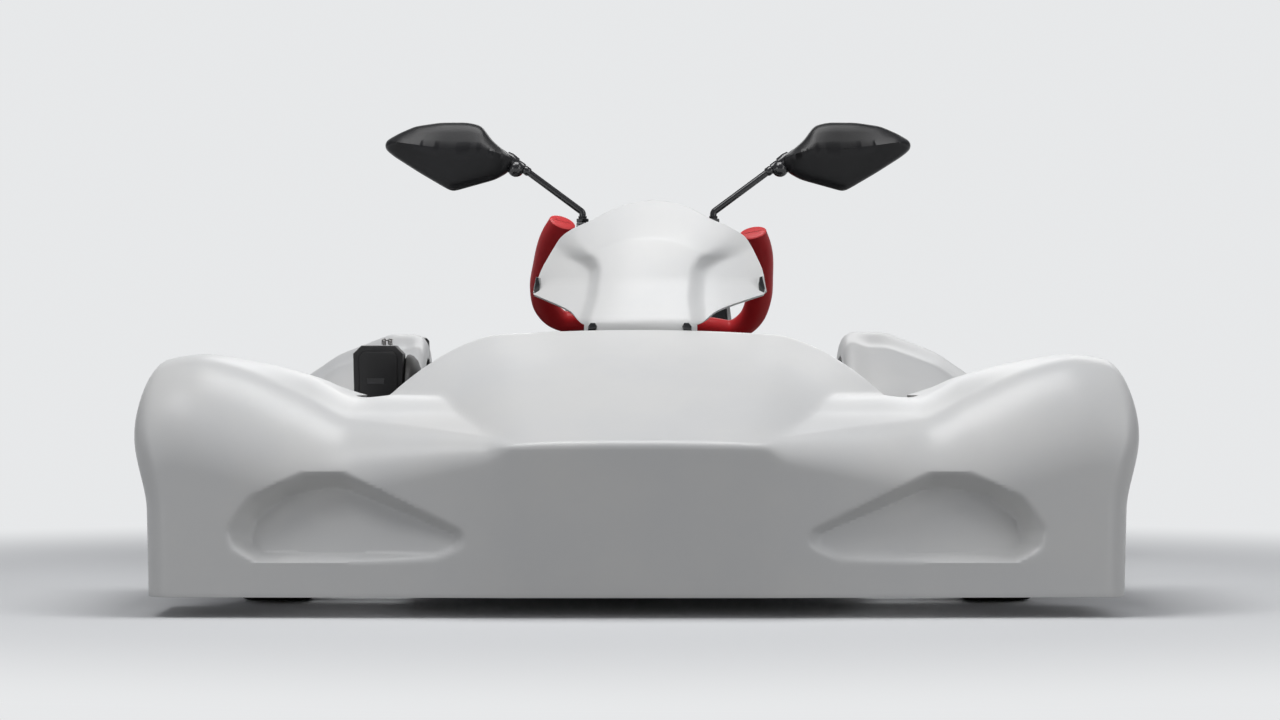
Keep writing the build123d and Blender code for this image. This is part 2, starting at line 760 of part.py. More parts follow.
eye_half = 7
outer_eye_z = arm_z + arm_plate + 0.5 + eye_half
stud_gap = 0.85
plate_pin = on_column(pitman_at - pitman_plate / 2) + Vector(0, 1, -1).normalized() * pitman_reach


def tie_rod(side):
    inner_eye = plate_pin - column_axis * (stud_gap + 3 + eye_half) + Vector(side * pitman_half, 0, 0)
    outer_eye = Vector(side * arm_end[0], arm_end[1], outer_eye_z)
    up = Vector(0, 0, eye_half)
    with BuildPart() as link:
        add(rod(inner_eye, outer_eye, 7))
        add(rod(inner_eye - column_axis * eye_half, inner_eye + column_axis * eye_half, eye_r))
        add(rod(inner_eye, inner_eye + column_axis * (eye_half + 3), pin_r))
        add(rod(outer_eye - up, outer_eye + up, eye_r))
        add(rod(outer_eye - up * 2, outer_eye + up * 2, pin_r + run_fit), mode=Mode.SUBTRACT)
    return link.part


for name, side in (("tie_rod_left", 1), ("tie_rod_right", -1)):
    save(tie_rod(side), name)


def tyre(x, y, radius, width):
    bead = width / 2 - 9
    tread = width / 2 - 7
    shoulder = radius - 13
    with BuildPart() as ring:
        with BuildSketch(section(y, x, radius)):
            with BuildLine():
                Line((-bead, bead_r), (bead, bead_r))
                lip = flange_r + 1
                for side in (1, -1):
                    bulge = (side * width / 2, 0.5 * (lip + radius))
                    Line((side * bead, bead_r), (side * bead, lip))
                    ThreePointArc((side * bead, lip), bulge, (side * tread, shoulder))
                    turn = (side * (tread - 3), radius - 5)
                    ThreePointArc((side * tread, shoulder), turn, (side * (tread - 14), radius - 1))
                ThreePointArc((14 - tread, radius - 1), (0, radius), (tread - 14, radius - 1))
            make_face()
        revolve(axis=Axis((x, y, radius), (1, 0, 0)))
    return ring.part


def rim(x, y, z, width, bore, hub, hub_r, web_at, windows):
    barrel = width / 2 - 9
    low, high = bead_r - seat_gap - rim_wall, bead_r - seat_gap
    with BuildPart() as wheel:
        with BuildSketch(section(y, x, z)):
            with BuildLine():
                Polyline((-barrel - 3.5, flange_r), (-barrel - seat_gap, flange_r), (-barrel - seat_gap, high),
                         (barrel + seat_gap, high), (barrel + seat_gap, flange_r), (barrel + 3.5, flange_r),
                         (barrel + 3.5, high - 2), (barrel - 1, low), (web_at + 4, low), (web_at + 4, hub_r),
                         (hub[1], hub_r), (hub[1], bore), (hub[0], bore), (hub[0], hub_r),
                         (web_at - 2, hub_r), (web_at - 2, low), (1 - barrel, low), (-barrel - 3.5, high - 2),
                         (-barrel - 3.5, flange_r))
            make_face()
        revolve(axis=Axis((x, y, z), (1, 0, 0)))
        with BuildSketch(Plane(origin=(x + web_at - 10, y, z), z_dir=(1, 0, 0))):
            with PolarLocations((hub_r + low) / 2, windows):
                Circle((low - hub_r) / 2 - 5)
        extrude(amount=20, mode=Mode.SUBTRACT)
    return wheel.part


front_hub = (hub_inner_x - front_wheel_x, hub_outer_x - front_wheel_x)
with BuildPart() as front_rim_left:
    bore = spindle_r + run_fit
    add(rim(front_wheel_x, front_axle_y, front_tyre_r, front_tyre_width, bore, front_hub, 22, 6, 6))
save_pair(front_rim_left.part, "front_rim")

with BuildPart() as front_tyre_left:
    add(tyre(front_wheel_x, front_axle_y, front_tyre_r, front_tyre_width))
save_pair(front_tyre_left.part, "front_tyre")

# Rear axle with its wheels, sprocket and brake disc, turning as one
with BuildPart() as rear_axle:
    for half, radius in ((axle_half - axle_end_length, axle_r), (axle_half, axle_end_r)):
        add(rod((-half, rear_axle_y, rear_tyre_r), (half, rear_axle_y, rear_tyre_r), radius))
    add(rod((-axle_half, rear_axle_y, rear_tyre_r), (axle_half, rear_axle_y, rear_tyre_r), axle_bore_r),
        mode=Mode.SUBTRACT)
save(rear_axle.part, "rear_axle")

rear_hub = (-60, 30)
with BuildPart() as rear_rims:
    bore = axle_r + run_fit
    add(rim(rear_wheel_x, rear_axle_y, rear_tyre_r, rear_tyre_width, bore, rear_hub, 32, 20, 6))
    mirror(about=Plane.YZ)
save(rear_rims.part, "rear_rims")

with BuildPart() as rear_tyres:
    add(tyre(rear_wheel_x, rear_axle_y, rear_tyre_r, rear_tyre_width))
    mirror(about=Plane.YZ)
save(rear_tyres.part, "rear_tyres")

tooth_count = 40
tooth_pitch = 12.7
sprocket_plate = 5
tooth_tip = 3.2
sprocket_r = tooth_pitch / (2 * sin(radians(180 / tooth_count)))
with BuildPart() as sprocket:
    with BuildSketch(Plane(origin=(sprocket_x - sprocket_plate / 2, rear_axle_y, rear_tyre_r), z_dir=(1, 0, 0))):
        Circle(sprocket_r + tooth_tip)
        with PolarLocations(sprocket_r + 2.4, tooth_count):
            Circle(3.7, mode=Mode.SUBTRACT)
        with PolarLocations(0.7 * sprocket_r, 6):
            Circle(14, mode=Mode.SUBTRACT)
        Circle(axle_r + run_fit, mode=Mode.SUBTRACT)
    extrude(amount=sprocket_plate)
    with BuildSketch(Plane(origin=(sprocket_x + sprocket_plate / 2, rear_axle_y, rear_tyre_r), z_dir=(1, 0, 0))):
        Circle(34)
        Circle(axle_r + run_fit, mode=Mode.SUBTRACT)
    extrude(amount=24)
save(sprocket.part, "sprocket")

disc_plate = 8
with BuildPart() as brake_disc:
    with BuildSketch(Plane(origin=(disc_x - disc_plate / 2, rear_axle_y, rear_tyre_r), z_dir=(1, 0, 0))):
        Circle(disc_r)
        with PolarLocations(disc_r - 20, 12):
            Circle(6, mode=Mode.SUBTRACT)
        Circle(axle_r + run_fit, mode=Mode.SUBTRACT)
    extrude(amount=disc_plate)
    with BuildSketch(Plane(origin=(disc_x + disc_plate / 2, rear_axle_y, rear_tyre_r), z_dir=(1, 0, 0))):
        Circle(36)
        Circle(axle_r + run_fit, mode=Mode.SUBTRACT)
    extrude(amount=26)
save(brake_disc.part, "brake_disc")

# Bearing carriers on the rails
with BuildPart() as rear_bearings:
    with BuildSketch(Plane(origin=(bearing_x - 11, rear_axle_y, 0), x_dir=(0, 1, 0), z_dir=(1, 0, 0))):
        with Locations((0, rear_tyre_r)):
            Circle(carrier_r)
        with Locations((0, rail_z + rail_r + seat_gap + 5)):
            Rectangle(120, 10)
        make_hull()
        with Locations((0, rear_tyre_r)):
            Circle(axle_r + run_fit, mode=Mode.SUBTRACT)
    extrude(amount=22)
    mirror(about=Plane.YZ)
save(rear_bearings.part, "rear_bearings")

# Brake caliper astride the disc, on a bracket from the rear cross tube
caliper_y, caliper_z = rear_axle_y + 78, rear_tyre_r + 20
with BuildPart() as brake_caliper:
    with Locations((disc_x, caliper_y + 6, caliper_z)):
        Box(60, 50, 50)
    with BuildSketch(Plane(origin=(disc_x - disc_plate / 2 - 1, rear_axle_y, rear_tyre_r), z_dir=(1, 0, 0))):
        Circle(disc_r + 3)
    extrude(amount=disc_plate + 2, mode=Mode.SUBTRACT)
    with BuildSketch(side_view(disc_x + 18)):
        Polygon((cross_rear_y - 15, rail_z), (cross_rear_y + 15, rail_z), (caliper_y + 30, caliper_z - 20),
                (caliper_y + 8, caliper_z - 20), align=None)
    extrude(amount=8)
    add(rod((0, cross_rear_y, rail_z), (200, cross_rear_y, rail_z), rail_r + seat_gap), mode=Mode.SUBTRACT)
save(brake_caliper.part, "brake_caliper")

# Engine on the driver's right: mounting plate, crankcase, finned cylinder leaning back, drive sprocket
engine_in_x, engine_out_x = -248, -344
engine_front_y, engine_back_y = 110, 300
drive_y, drive_z = engine_y, 135
drive_teeth = 12
drive_r = tooth_pitch / (2 * sin(radians(180 / drive_teeth)))
fin_count, fin_step, fin_plate = 7, 9, 3
cylinder_lean = 25
cylinder_foot = Plane(origin=((engine_in_x + engine_out_x) / 2, engine_y - 20, 232)).rotated((-cylinder_lean, 0, 0))
with BuildPart() as engine_block:
    with BuildSketch(Plane.XY.offset(tab_z)):
        with Locations(((engine_in_x + engine_out_x) / 2, engine_y)):
            Rectangle(engine_in_x - engine_out_x + 16, 200)
    extrude(amount=10)
    with BuildSketch(side_view(engine_out_x)):
        Polygon((engine_front_y, tab_z + 10), (engine_back_y, tab_z + 10), (engine_back_y, 190),
                (engine_back_y - 50, 236), (engine_front_y + 30, 236), (engine_front_y, 200), align=None)
    extrude(amount=engine_in_x - engine_out_x)
    with BuildSketch(cylinder_foot.offset(-12)):
        Circle(34)
    extrude(amount=20 + fin_count * fin_step)
    for step in range(fin_count):
        with BuildSketch(cylinder_foot.offset(8 + step * fin_step)):
            RectangleRounded(92, 100, 12)
        extrude(amount=fin_plate)
    with BuildSketch(cylinder_foot.offset(8 + fin_count * fin_step - fin_plate)):
        RectangleRounded(84, 90, 14)
    extrude(amount=24)
    add(rod((engine_in_x, drive_y, drive_z), (sprocket_x + 8, drive_y, drive_z), 12))
    with BuildSketch(side_view(sprocket_x - sprocket_plate / 2)):
        with Locations((drive_y, drive_z)):
            Circle(drive_r + tooth_tip)
            with PolarLocations(drive_r + 2.4, drive_teeth):
                Circle(3.7, mode=Mode.SUBTRACT)
    extrude(amount=sprocket_plate)
save(engine_block.part, "engine_block")

# Fan shroud on the outer side of the engine, and the air box on it
shroud_r, shroud_y, shroud_z = 72, 215, 275
shroud_depth = 24
shroud_out_x = engine_out_x - 4 - seat_gap - shroud_depth
with BuildPart() as engine_shroud:
    with BuildSketch(side_view(shroud_out_x)):
        with Locations((shroud_y, shroud_z)):
            Circle(shroud_r)
    extrude(amount=shroud_depth)
    rims = engine_shroud.edges().filter_by(GeomType.CIRCLE).group_by(Axis.X)[0]
    fillet(rims, 9)
    with BuildSketch(side_view(engine_out_x - seat_gap)):
        with Locations((shroud_y, 212)):
            Rectangle(60, 30)
    extrude(amount=-4 - shroud_depth + 10)

box_out_x, box_front_y, box_top_z = -452, 150, 362
box_in_x = shroud_out_x - seat_gap
with BuildPart() as air_box:
    with BuildSketch(section(box_front_y)) as face:
        Polygon((box_out_x, box_top_z - 100), (box_in_x, box_top_z - 100), (box_in_x, box_top_z),
                (box_out_x, box_top_z), align=None)
        chamfer(face.vertices(), 13)
    extrude(amount=-66)
    with BuildSketch(section(box_front_y)) as panel:
        Polygon((box_out_x + 12, box_top_z - 88), (box_in_x - 12, box_top_z - 88), (box_in_x - 12, box_top_z - 12),
                (box_out_x + 12, box_top_z - 12), align=None)
        chamfer(panel.vertices(), 8)
    extrude(amount=-3, mode=Mode.SUBTRACT)
    add(engine_shroud.part)
save(air_box.part, "air_box_and_shroud")

# Muffler across the back of the engine
muffler_y, muffler_z, muffler_r = 366, 182, 34
port_x = (engine_in_x + engine_out_x) / 2 - 8
with BuildPart() as muffler:
    add(rod((-290, muffler_y, muffler_z), (-425, muffler_y, muffler_z), muffler_r))
    fillet(muffler.edges().filter_by(GeomType.CIRCLE), 8)
    port = (port_x, engine_back_y + seat_gap, 160)
    add(rod(port, (port_x, engine_back_y + 7, 160), 20))
    add(rod((port_x, engine_back_y + 5, 160), (port_x, muffler_y, muffler_z), 13))
    add(rod((-415, muffler_y, muffler_z), (-440, muffler_y, muffler_z), 9))
save(muffler.part, "muffler")

# Chain: one closed loop round both sprockets
chain_depth, chain_width = 9, 9


def chain_loop(grow):
    with BuildSketch() as loop:
        with Locations((rear_axle_y, rear_tyre_r)):
            Circle(sprocket_r + grow)
        with Locations((drive_y, drive_z)):
            Circle(drive_r + grow)
        make_hull()
    return loop.sketch_local


with BuildPart() as chain:
    with BuildSketch(side_view(sprocket_x - chain_width / 2)):
        add(chain_loop(tooth_tip + seat_gap + chain_depth))
        add(chain_loop(tooth_tip + seat_gap), mode=Mode.SUBTRACT)
    extrude(amount=chain_width)
save(chain.part, "chain")

# Fuel tank on the driver's left, on the rail tab
tank_x, tank_width, tank_length, tank_height = 276, 108, 240, 175
tank_low = tab_z + tab_plate + seat_gap
with BuildPart() as fuel_tank:
    with BuildSketch(Plane.XY.offset(tank_low)):
        with Locations((tank_x, 0)):
            RectangleRounded(tank_width, tank_length, 22)
    extrude(amount=tank_height, taper=2)
    fillet(fuel_tank.faces().sort_by(Axis.Z)[-1].edges(), 14)
    add(rod((tank_x, 60, tank_low + tank_height - 1), (tank_x, 60, tank_low + tank_height + 14), 24))
save(fuel_tank.part, "fuel_tank")

# Pedals on the floor tray: bent rods with a cross bar
pedal_x, pedal_y = 150, -700
with BuildPart() as pedals:
    with Locations((pedal_x, pedal_y, tray_top + seat_gap + 7)):
        Box(38, 26, 14)
    add(tube([(pedal_x, pedal_y, tray_top + 10), (pedal_x, pedal_y - 16, 130), (pedal_x, pedal_y, 215)], 30, 6))
    add(rod((pedal_x - 32, pedal_y, 213), (pedal_x + 32, pedal_y, 213), 8))
    mirror(about=Plane.YZ)
save(pedals.part, "pedals")
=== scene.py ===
import bpy
import bmesh
import math
import numpy as np
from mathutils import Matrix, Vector


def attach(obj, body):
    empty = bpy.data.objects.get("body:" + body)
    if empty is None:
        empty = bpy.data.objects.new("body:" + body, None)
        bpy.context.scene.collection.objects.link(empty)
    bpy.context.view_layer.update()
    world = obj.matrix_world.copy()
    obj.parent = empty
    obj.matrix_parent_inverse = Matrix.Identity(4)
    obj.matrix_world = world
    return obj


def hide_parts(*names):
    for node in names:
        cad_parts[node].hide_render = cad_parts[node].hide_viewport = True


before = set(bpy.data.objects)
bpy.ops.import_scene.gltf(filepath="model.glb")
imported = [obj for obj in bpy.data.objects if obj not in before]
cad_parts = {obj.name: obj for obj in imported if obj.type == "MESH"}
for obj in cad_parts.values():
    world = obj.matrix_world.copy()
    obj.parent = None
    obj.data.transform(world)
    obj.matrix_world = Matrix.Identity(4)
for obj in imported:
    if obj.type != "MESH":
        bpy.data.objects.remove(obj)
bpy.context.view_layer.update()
print("frame loaded")

mm = 0.001


# node tools that the studio and the finishes share

def link(tree, source, target):
    tree.links.new(source, target)


def feed(tree, socket, value):
    # a constant is set on the socket, a colour gets its alpha, and an output is linked
    if isinstance(value, tuple):
        socket.default_value = value + (1,)
    elif isinstance(value, (int, float)):
        socket.default_value = value
    else:
        link(tree, value, socket)


def newNode(tree, kind, **inputs):
    node = tree.nodes.new("ShaderNode" + kind)
    for name, value in inputs.items():
        feed(tree, node.inputs[name], value)
    return node


def mathNode(tree, operation, first, second):
    node = newNode(tree, "Math")
    node.operation = operation
    for socket, value in zip(node.inputs, (first, second)):
        feed(tree, socket, value)
    return node.outputs[0]


def times(tree, first, second):
    return mathNode(tree, "MULTIPLY", first, second)


def noiseNode(tree, vector, scale, detail, roughness=0.55):
    node = newNode(tree, "TexNoise", Vector=vector, Scale=scale, Detail=detail, Roughness=roughness)
    return node.outputs["Fac"]


def rampNode(tree, value, low, high):
    node = newNode(tree, "MapRange", Value=value)
    node.interpolation_type = "SMOOTHSTEP"
    node.inputs["From Min"].default_value, node.inputs["From Max"].default_value = low, high
    return node.outputs["Result"]


def colourMix(tree, factor, first, second):
    node = newNode(tree, "Mix")
    node.data_type = "RGBA"
    for name, value in (("Factor", factor), ("A", first), ("B", second)):
        feed(tree, node.inputs[name], value)
    return node.outputs["Result"]


def shaderMix(tree, factor, first, second):
    node = newNode(tree, "MixShader")
    for socket, value in zip(node.inputs, (factor, first, second)):
        link(tree, value, socket)
    return node.outputs[0]


def putInScene(thing):
    bpy.context.scene.collection.objects.link(thing)


def toMesh(bm, name):
    mesh = bpy.data.meshes.new(name)
    bm.to_mesh(mesh)
    bm.free()
    return mesh


# camera, floor and light

view = {"place": (4.4, -5500, 338), "lens": 100, "sensor": 36, "clip": (0.05, 80)}
studio = {
    # in metres
    "floorHalf": 14, "wallHeight": 12, "sweep": 4, "sweepSteps": 16,
    # the floor's colour as seen and as a light bounce, the sky's light, and the backdrop that both fade into
    "floorColour": (0.86, 0.87, 0.88), "floorForLight": (0.22, 0.22, 0.22), "skyColour": (0.93, 0.95, 1.0),
    "skyLevel": 0.26, "backdrop": (0.80, 0.81, 0.82), "fade": (1.0, 2.1),
    # place, size, watts, aim height
    "lamps": [
        ("keyLamp", (-1.4, -2.0, 3.2), (1.6, 1.0), 21, 0.3),
        ("fillLamp", (2.9, -2.2, 2.2), (1.6, 1.8), 14, 0.3),
        ("topLamp", (0.0, -0.7, 1.9), (1.0, 0.8), 14, 0.2),
        ("backLamp", (0.6, 3.4, 2.2), (3.0, 1.4), 18, 0.4),
        ("leftLamp", (2.7, -3.2, 0.8), (1.2, 1.2), 9, 0.15),
        ("rightLamp", (-2.7, -3.2, 0.8), (1.2, 1.2), 9, 0.15),
    ],
}

cameraData = bpy.data.cameras.new("camera")
cameraData.lens, cameraData.sensor_width = view["lens"], view["sensor"]
cameraData.clip_start, cameraData.clip_end = view["clip"]
camera = bpy.data.objects.new("camera", cameraData)
camera.location = [c * mm for c in view["place"]]
camera.rotation_euler = (math.radians(90), 0, 0)
putInScene(camera)
bpy.context.scene.camera = camera
bpy.context.scene.view_settings.view_transform = "Standard"

for lampName, place, size, watts, aim in studio["lamps"]:
    lampData = bpy.data.lights.new(lampName, "AREA")
    lampData.shape, lampData.energy = "RECTANGLE", watts
    lampData.size, lampData.size_y = size
    lamp = bpy.data.objects.new(lampName, lampData)
    lamp.location = place
    lamp.rotation_euler = (Vector((0, 0, aim)) - Vector(place)).to_track_quat("-Z", "Y").to_euler()
    putInScene(lamp)

# the sky lights the kart softly, and the camera sees it as pale as the backdrop
world = bpy.data.worlds.new("studioWorld")
world.use_nodes = True
tree = world.node_tree
softSky = tree.nodes["Background"]
feed(tree, softSky.inputs["Color"], studio["skyColour"])
feed(tree, softSky.inputs["Strength"], studio["skyLevel"])
paleSky = newNode(tree, "Background", Color=studio["backdrop"])
cameraRay = newNode(tree, "LightPath").outputs["Is Camera Ray"]
sky = shaderMix(tree, cameraRay, softSky.outputs[0], paleSky.outputs[0])
link(tree, sky, tree.nodes["World Output"].inputs["Surface"])
bpy.context.scene.world = world

bm = bmesh.new()
bmesh.ops.create_grid(bm, x_segments=1, y_segments=1, size=studio["floorHalf"])
farEdge = [e for e in bm.edges if all(v.co.y > 0 for v in e.verts)]
wall = bmesh.ops.extrude_edge_only(bm, edges=farEdge)
raised = [g for g in wall["geom"] if isinstance(g, bmesh.types.BMVert)]
bmesh.ops.translate(bm, vec=(0, 0, studio["wallHeight"]), verts=raised)
foldEdge = [e for e in bm.edges if all(v.co.y > 0 and v not in raised for v in e.verts)]
bmesh.ops.bevel(bm, geom=foldEdge, offset=studio["sweep"], offset_type="OFFSET", affect="EDGES",
                segments=studio["sweepSteps"], profile=0.5, material=-1)
floorData = toMesh(bm, "studioFloor")
floorData.shade_smooth()
floor = bpy.data.objects.new("studioFloor", floorData)

# seen straight or in a reflection the floor is pale and fades into the backdrop, and as a bounce it is darker
floorMaterial = bpy.data.materials.new("studioFloor")
floorMaterial.use_nodes = True
tree = floorMaterial.node_tree
tree.nodes.clear()
path = newNode(tree, "LightPath")
seen = mathNode(tree, "MAXIMUM", path.outputs["Is Camera Ray"], path.outputs["Is Glossy Ray"])
seen = mathNode(tree, "MAXIMUM", seen, path.outputs["Is Transmission Ray"])
floorColour = colourMix(tree, seen, studio["floorForLight"], studio["floorColour"])
away = newNode(tree, "VectorMath")
away.operation = "LENGTH"
link(tree, newNode(tree, "TexCoord").outputs["Object"], away.inputs[0])
fade = times(tree, rampNode(tree, away.outputs["Value"], *studio["fade"]), seen)
matte = newNode(tree, "BsdfDiffuse", Color=floorColour)
glow = newNode(tree, "Emission", Color=studio["backdrop"])
surface = shaderMix(tree, fade, matte.outputs[0], glow.outputs[0])
link(tree, surface, newNode(tree, "OutputMaterial").inputs["Surface"])
floorData.materials.append(floorMaterial)
putInScene(floor)
print("camera, lights and floor set")


# effects that the finishes share

def newGroup(name, inputs, outputs):
    group = bpy.data.node_groups.new(name, "ShaderNodeTree")
    for socketName, value in inputs.items():
        socket = group.interface.new_socket(name=socketName, in_out="INPUT", socket_type="NodeSocketFloat")
        socket.default_value = value
    for socketName in outputs:
        group.interface.new_socket(name=socketName, in_out="OUTPUT", socket_type="NodeSocketFloat")
    start, end = group.nodes.new("NodeGroupInput"), group.nodes.new("NodeGroupOutput")
    return group, start, end, newNode(group, "TexCoord").outputs["Object"]


# settled dust: more on faces that look up, broken by noise
tree, start, end, place = newGroup("settledDust", {"Amount": 0.3, "Scale": 9}, ["Mask"])
normalParts = newNode(tree, "SeparateXYZ")
link(tree, newNode(tree, "NewGeometry").outputs["Normal"], normalParts.inputs[0])
facingUp = rampNode(tree, normalParts.outputs["Z"], -0.2, 1.0)
cloud = rampNode(tree, noiseNode(tree, place, start.outputs["Scale"], 6, 0.62), 0.36, 0.72)
speck = rampNode(tree, noiseNode(tree, place, 420, 2), 0.55, 0.72)
cloud, speck = times(tree, cloud, 0.75), times(tree, speck, 0.35)
mask = times(tree, mathNode(tree, "ADD", cloud, speck), facingUp)
mask = times(tree, mask, start.outputs["Amount"])
link(tree, mask, end.inputs["Mask"])
dustGroup = tree

# moulded grain: two sizes of noise for bump, and a slow drift for colour
tree, start, end, place = newGroup("mouldedGrain", {"Fine Scale": 900, "Broad Scale": 60},
                                   ["Height", "Drift"])
fine = times(tree, noiseNode(tree, place, start.outputs["Fine Scale"], 3), 0.6)
broad = times(tree, noiseNode(tree, place, start.outputs["Broad Scale"], 4), 0.4)
link(tree, mathNode(tree, "ADD", fine, broad), end.inputs["Height"])
link(tree, noiseNode(tree, place, 7, 5), end.inputs["Drift"])
grainGroup = tree

# fine scratches in rubbed patches
tree, start, end, place = newGroup("rubbedScratches", {"Amount": 0.3}, ["Mask"])
stretch = newNode(tree, "Mapping", Vector=place)
stretch.inputs["Scale"].default_value = (14, 260, 160)
stretch.inputs["Rotation"].default_value = (0.3, 0.5, 0.2)
lines = rampNode(tree, noiseNode(tree, stretch.outputs[0], 1, 2), 0.64, 0.74)
patches = rampNode(tree, noiseNode(tree, place, 5, 4), 0.42, 0.66)
mask = times(tree, lines, patches)
mask = times(tree, mask, start.outputs["Amount"])
link(tree, mask, end.inputs["Mask"])
scratchGroup = tree
print("shared node groups made")


# finishes: what a look doesn't say is usual

usualLook = {
    "metal": 0, "ior": 1.48, "coat": 0, "coatRough": 0.08, "roughDrift": 0.12, "dust": 0.25, "dustScale": 9,
    "dustColour": (0.42, 0.40, 0.37), "scratch": 0.3, "fineScale": 900, "broadScale": 60, "bump": 0.1,
    "bumpDepth": 0.3,
}


def useGroup(tree, group, **inputs):
    node = tree.nodes.new("ShaderNodeGroup")
    node.node_tree = group
    for name, value in inputs.items():
        node.inputs[name.replace("_", " ")].default_value = value
    return node


def makeFinish(name, changes):
    look = {**usualLook, **changes}
    material = bpy.data.materials.new(name)
    material.use_nodes = True
    tree = material.node_tree
    shader = tree.nodes["Principled BSDF"]
    constants = {"Metallic": "metal", "IOR": "ior", "Coat Weight": "coat", "Coat Roughness": "coatRough"}
    for socketName, key in constants.items():
        shader.inputs[socketName].default_value = look[key]
    grain = useGroup(tree, grainGroup, Fine_Scale=look["fineScale"], Broad_Scale=look["broadScale"])
    dust = useGroup(tree, dustGroup, Amount=look["dust"], Scale=look["dustScale"]).outputs["Mask"]
    scratch = useGroup(tree, scratchGroup, Amount=look["scratch"]).outputs["Mask"]

    colour = colourMix(tree, rampNode(tree, grain.outputs["Drift"], 0.3, 0.7), look["colour"], look["shade"])
    colour = colourMix(tree, scratch, colour, look["bare"])
    colour = colourMix(tree, dust, colour, look["dustColour"])
    link(tree, colour, shader.inputs["Base Color"])

    drift = times(tree, grain.outputs["Drift"], look["roughDrift"])
    rough = mathNode(tree, "ADD", drift, look["rough"] - 0.5 * look["roughDrift"])
    rough = mathNode(tree, "ADD", rough, times(tree, scratch, 0.25))
    rough = mathNode(tree, "ADD", rough, times(tree, dust, 0.45))
    link(tree, rough, shader.inputs["Roughness"])

    bump = newNode(tree, "Bump", Strength=look["bump"], Distance=look["bumpDepth"] * mm)
    link(tree, grain.outputs["Height"], bump.inputs["Height"])
    link(tree, bump.outputs["Normal"], shader.inputs["Normal"])
    return material


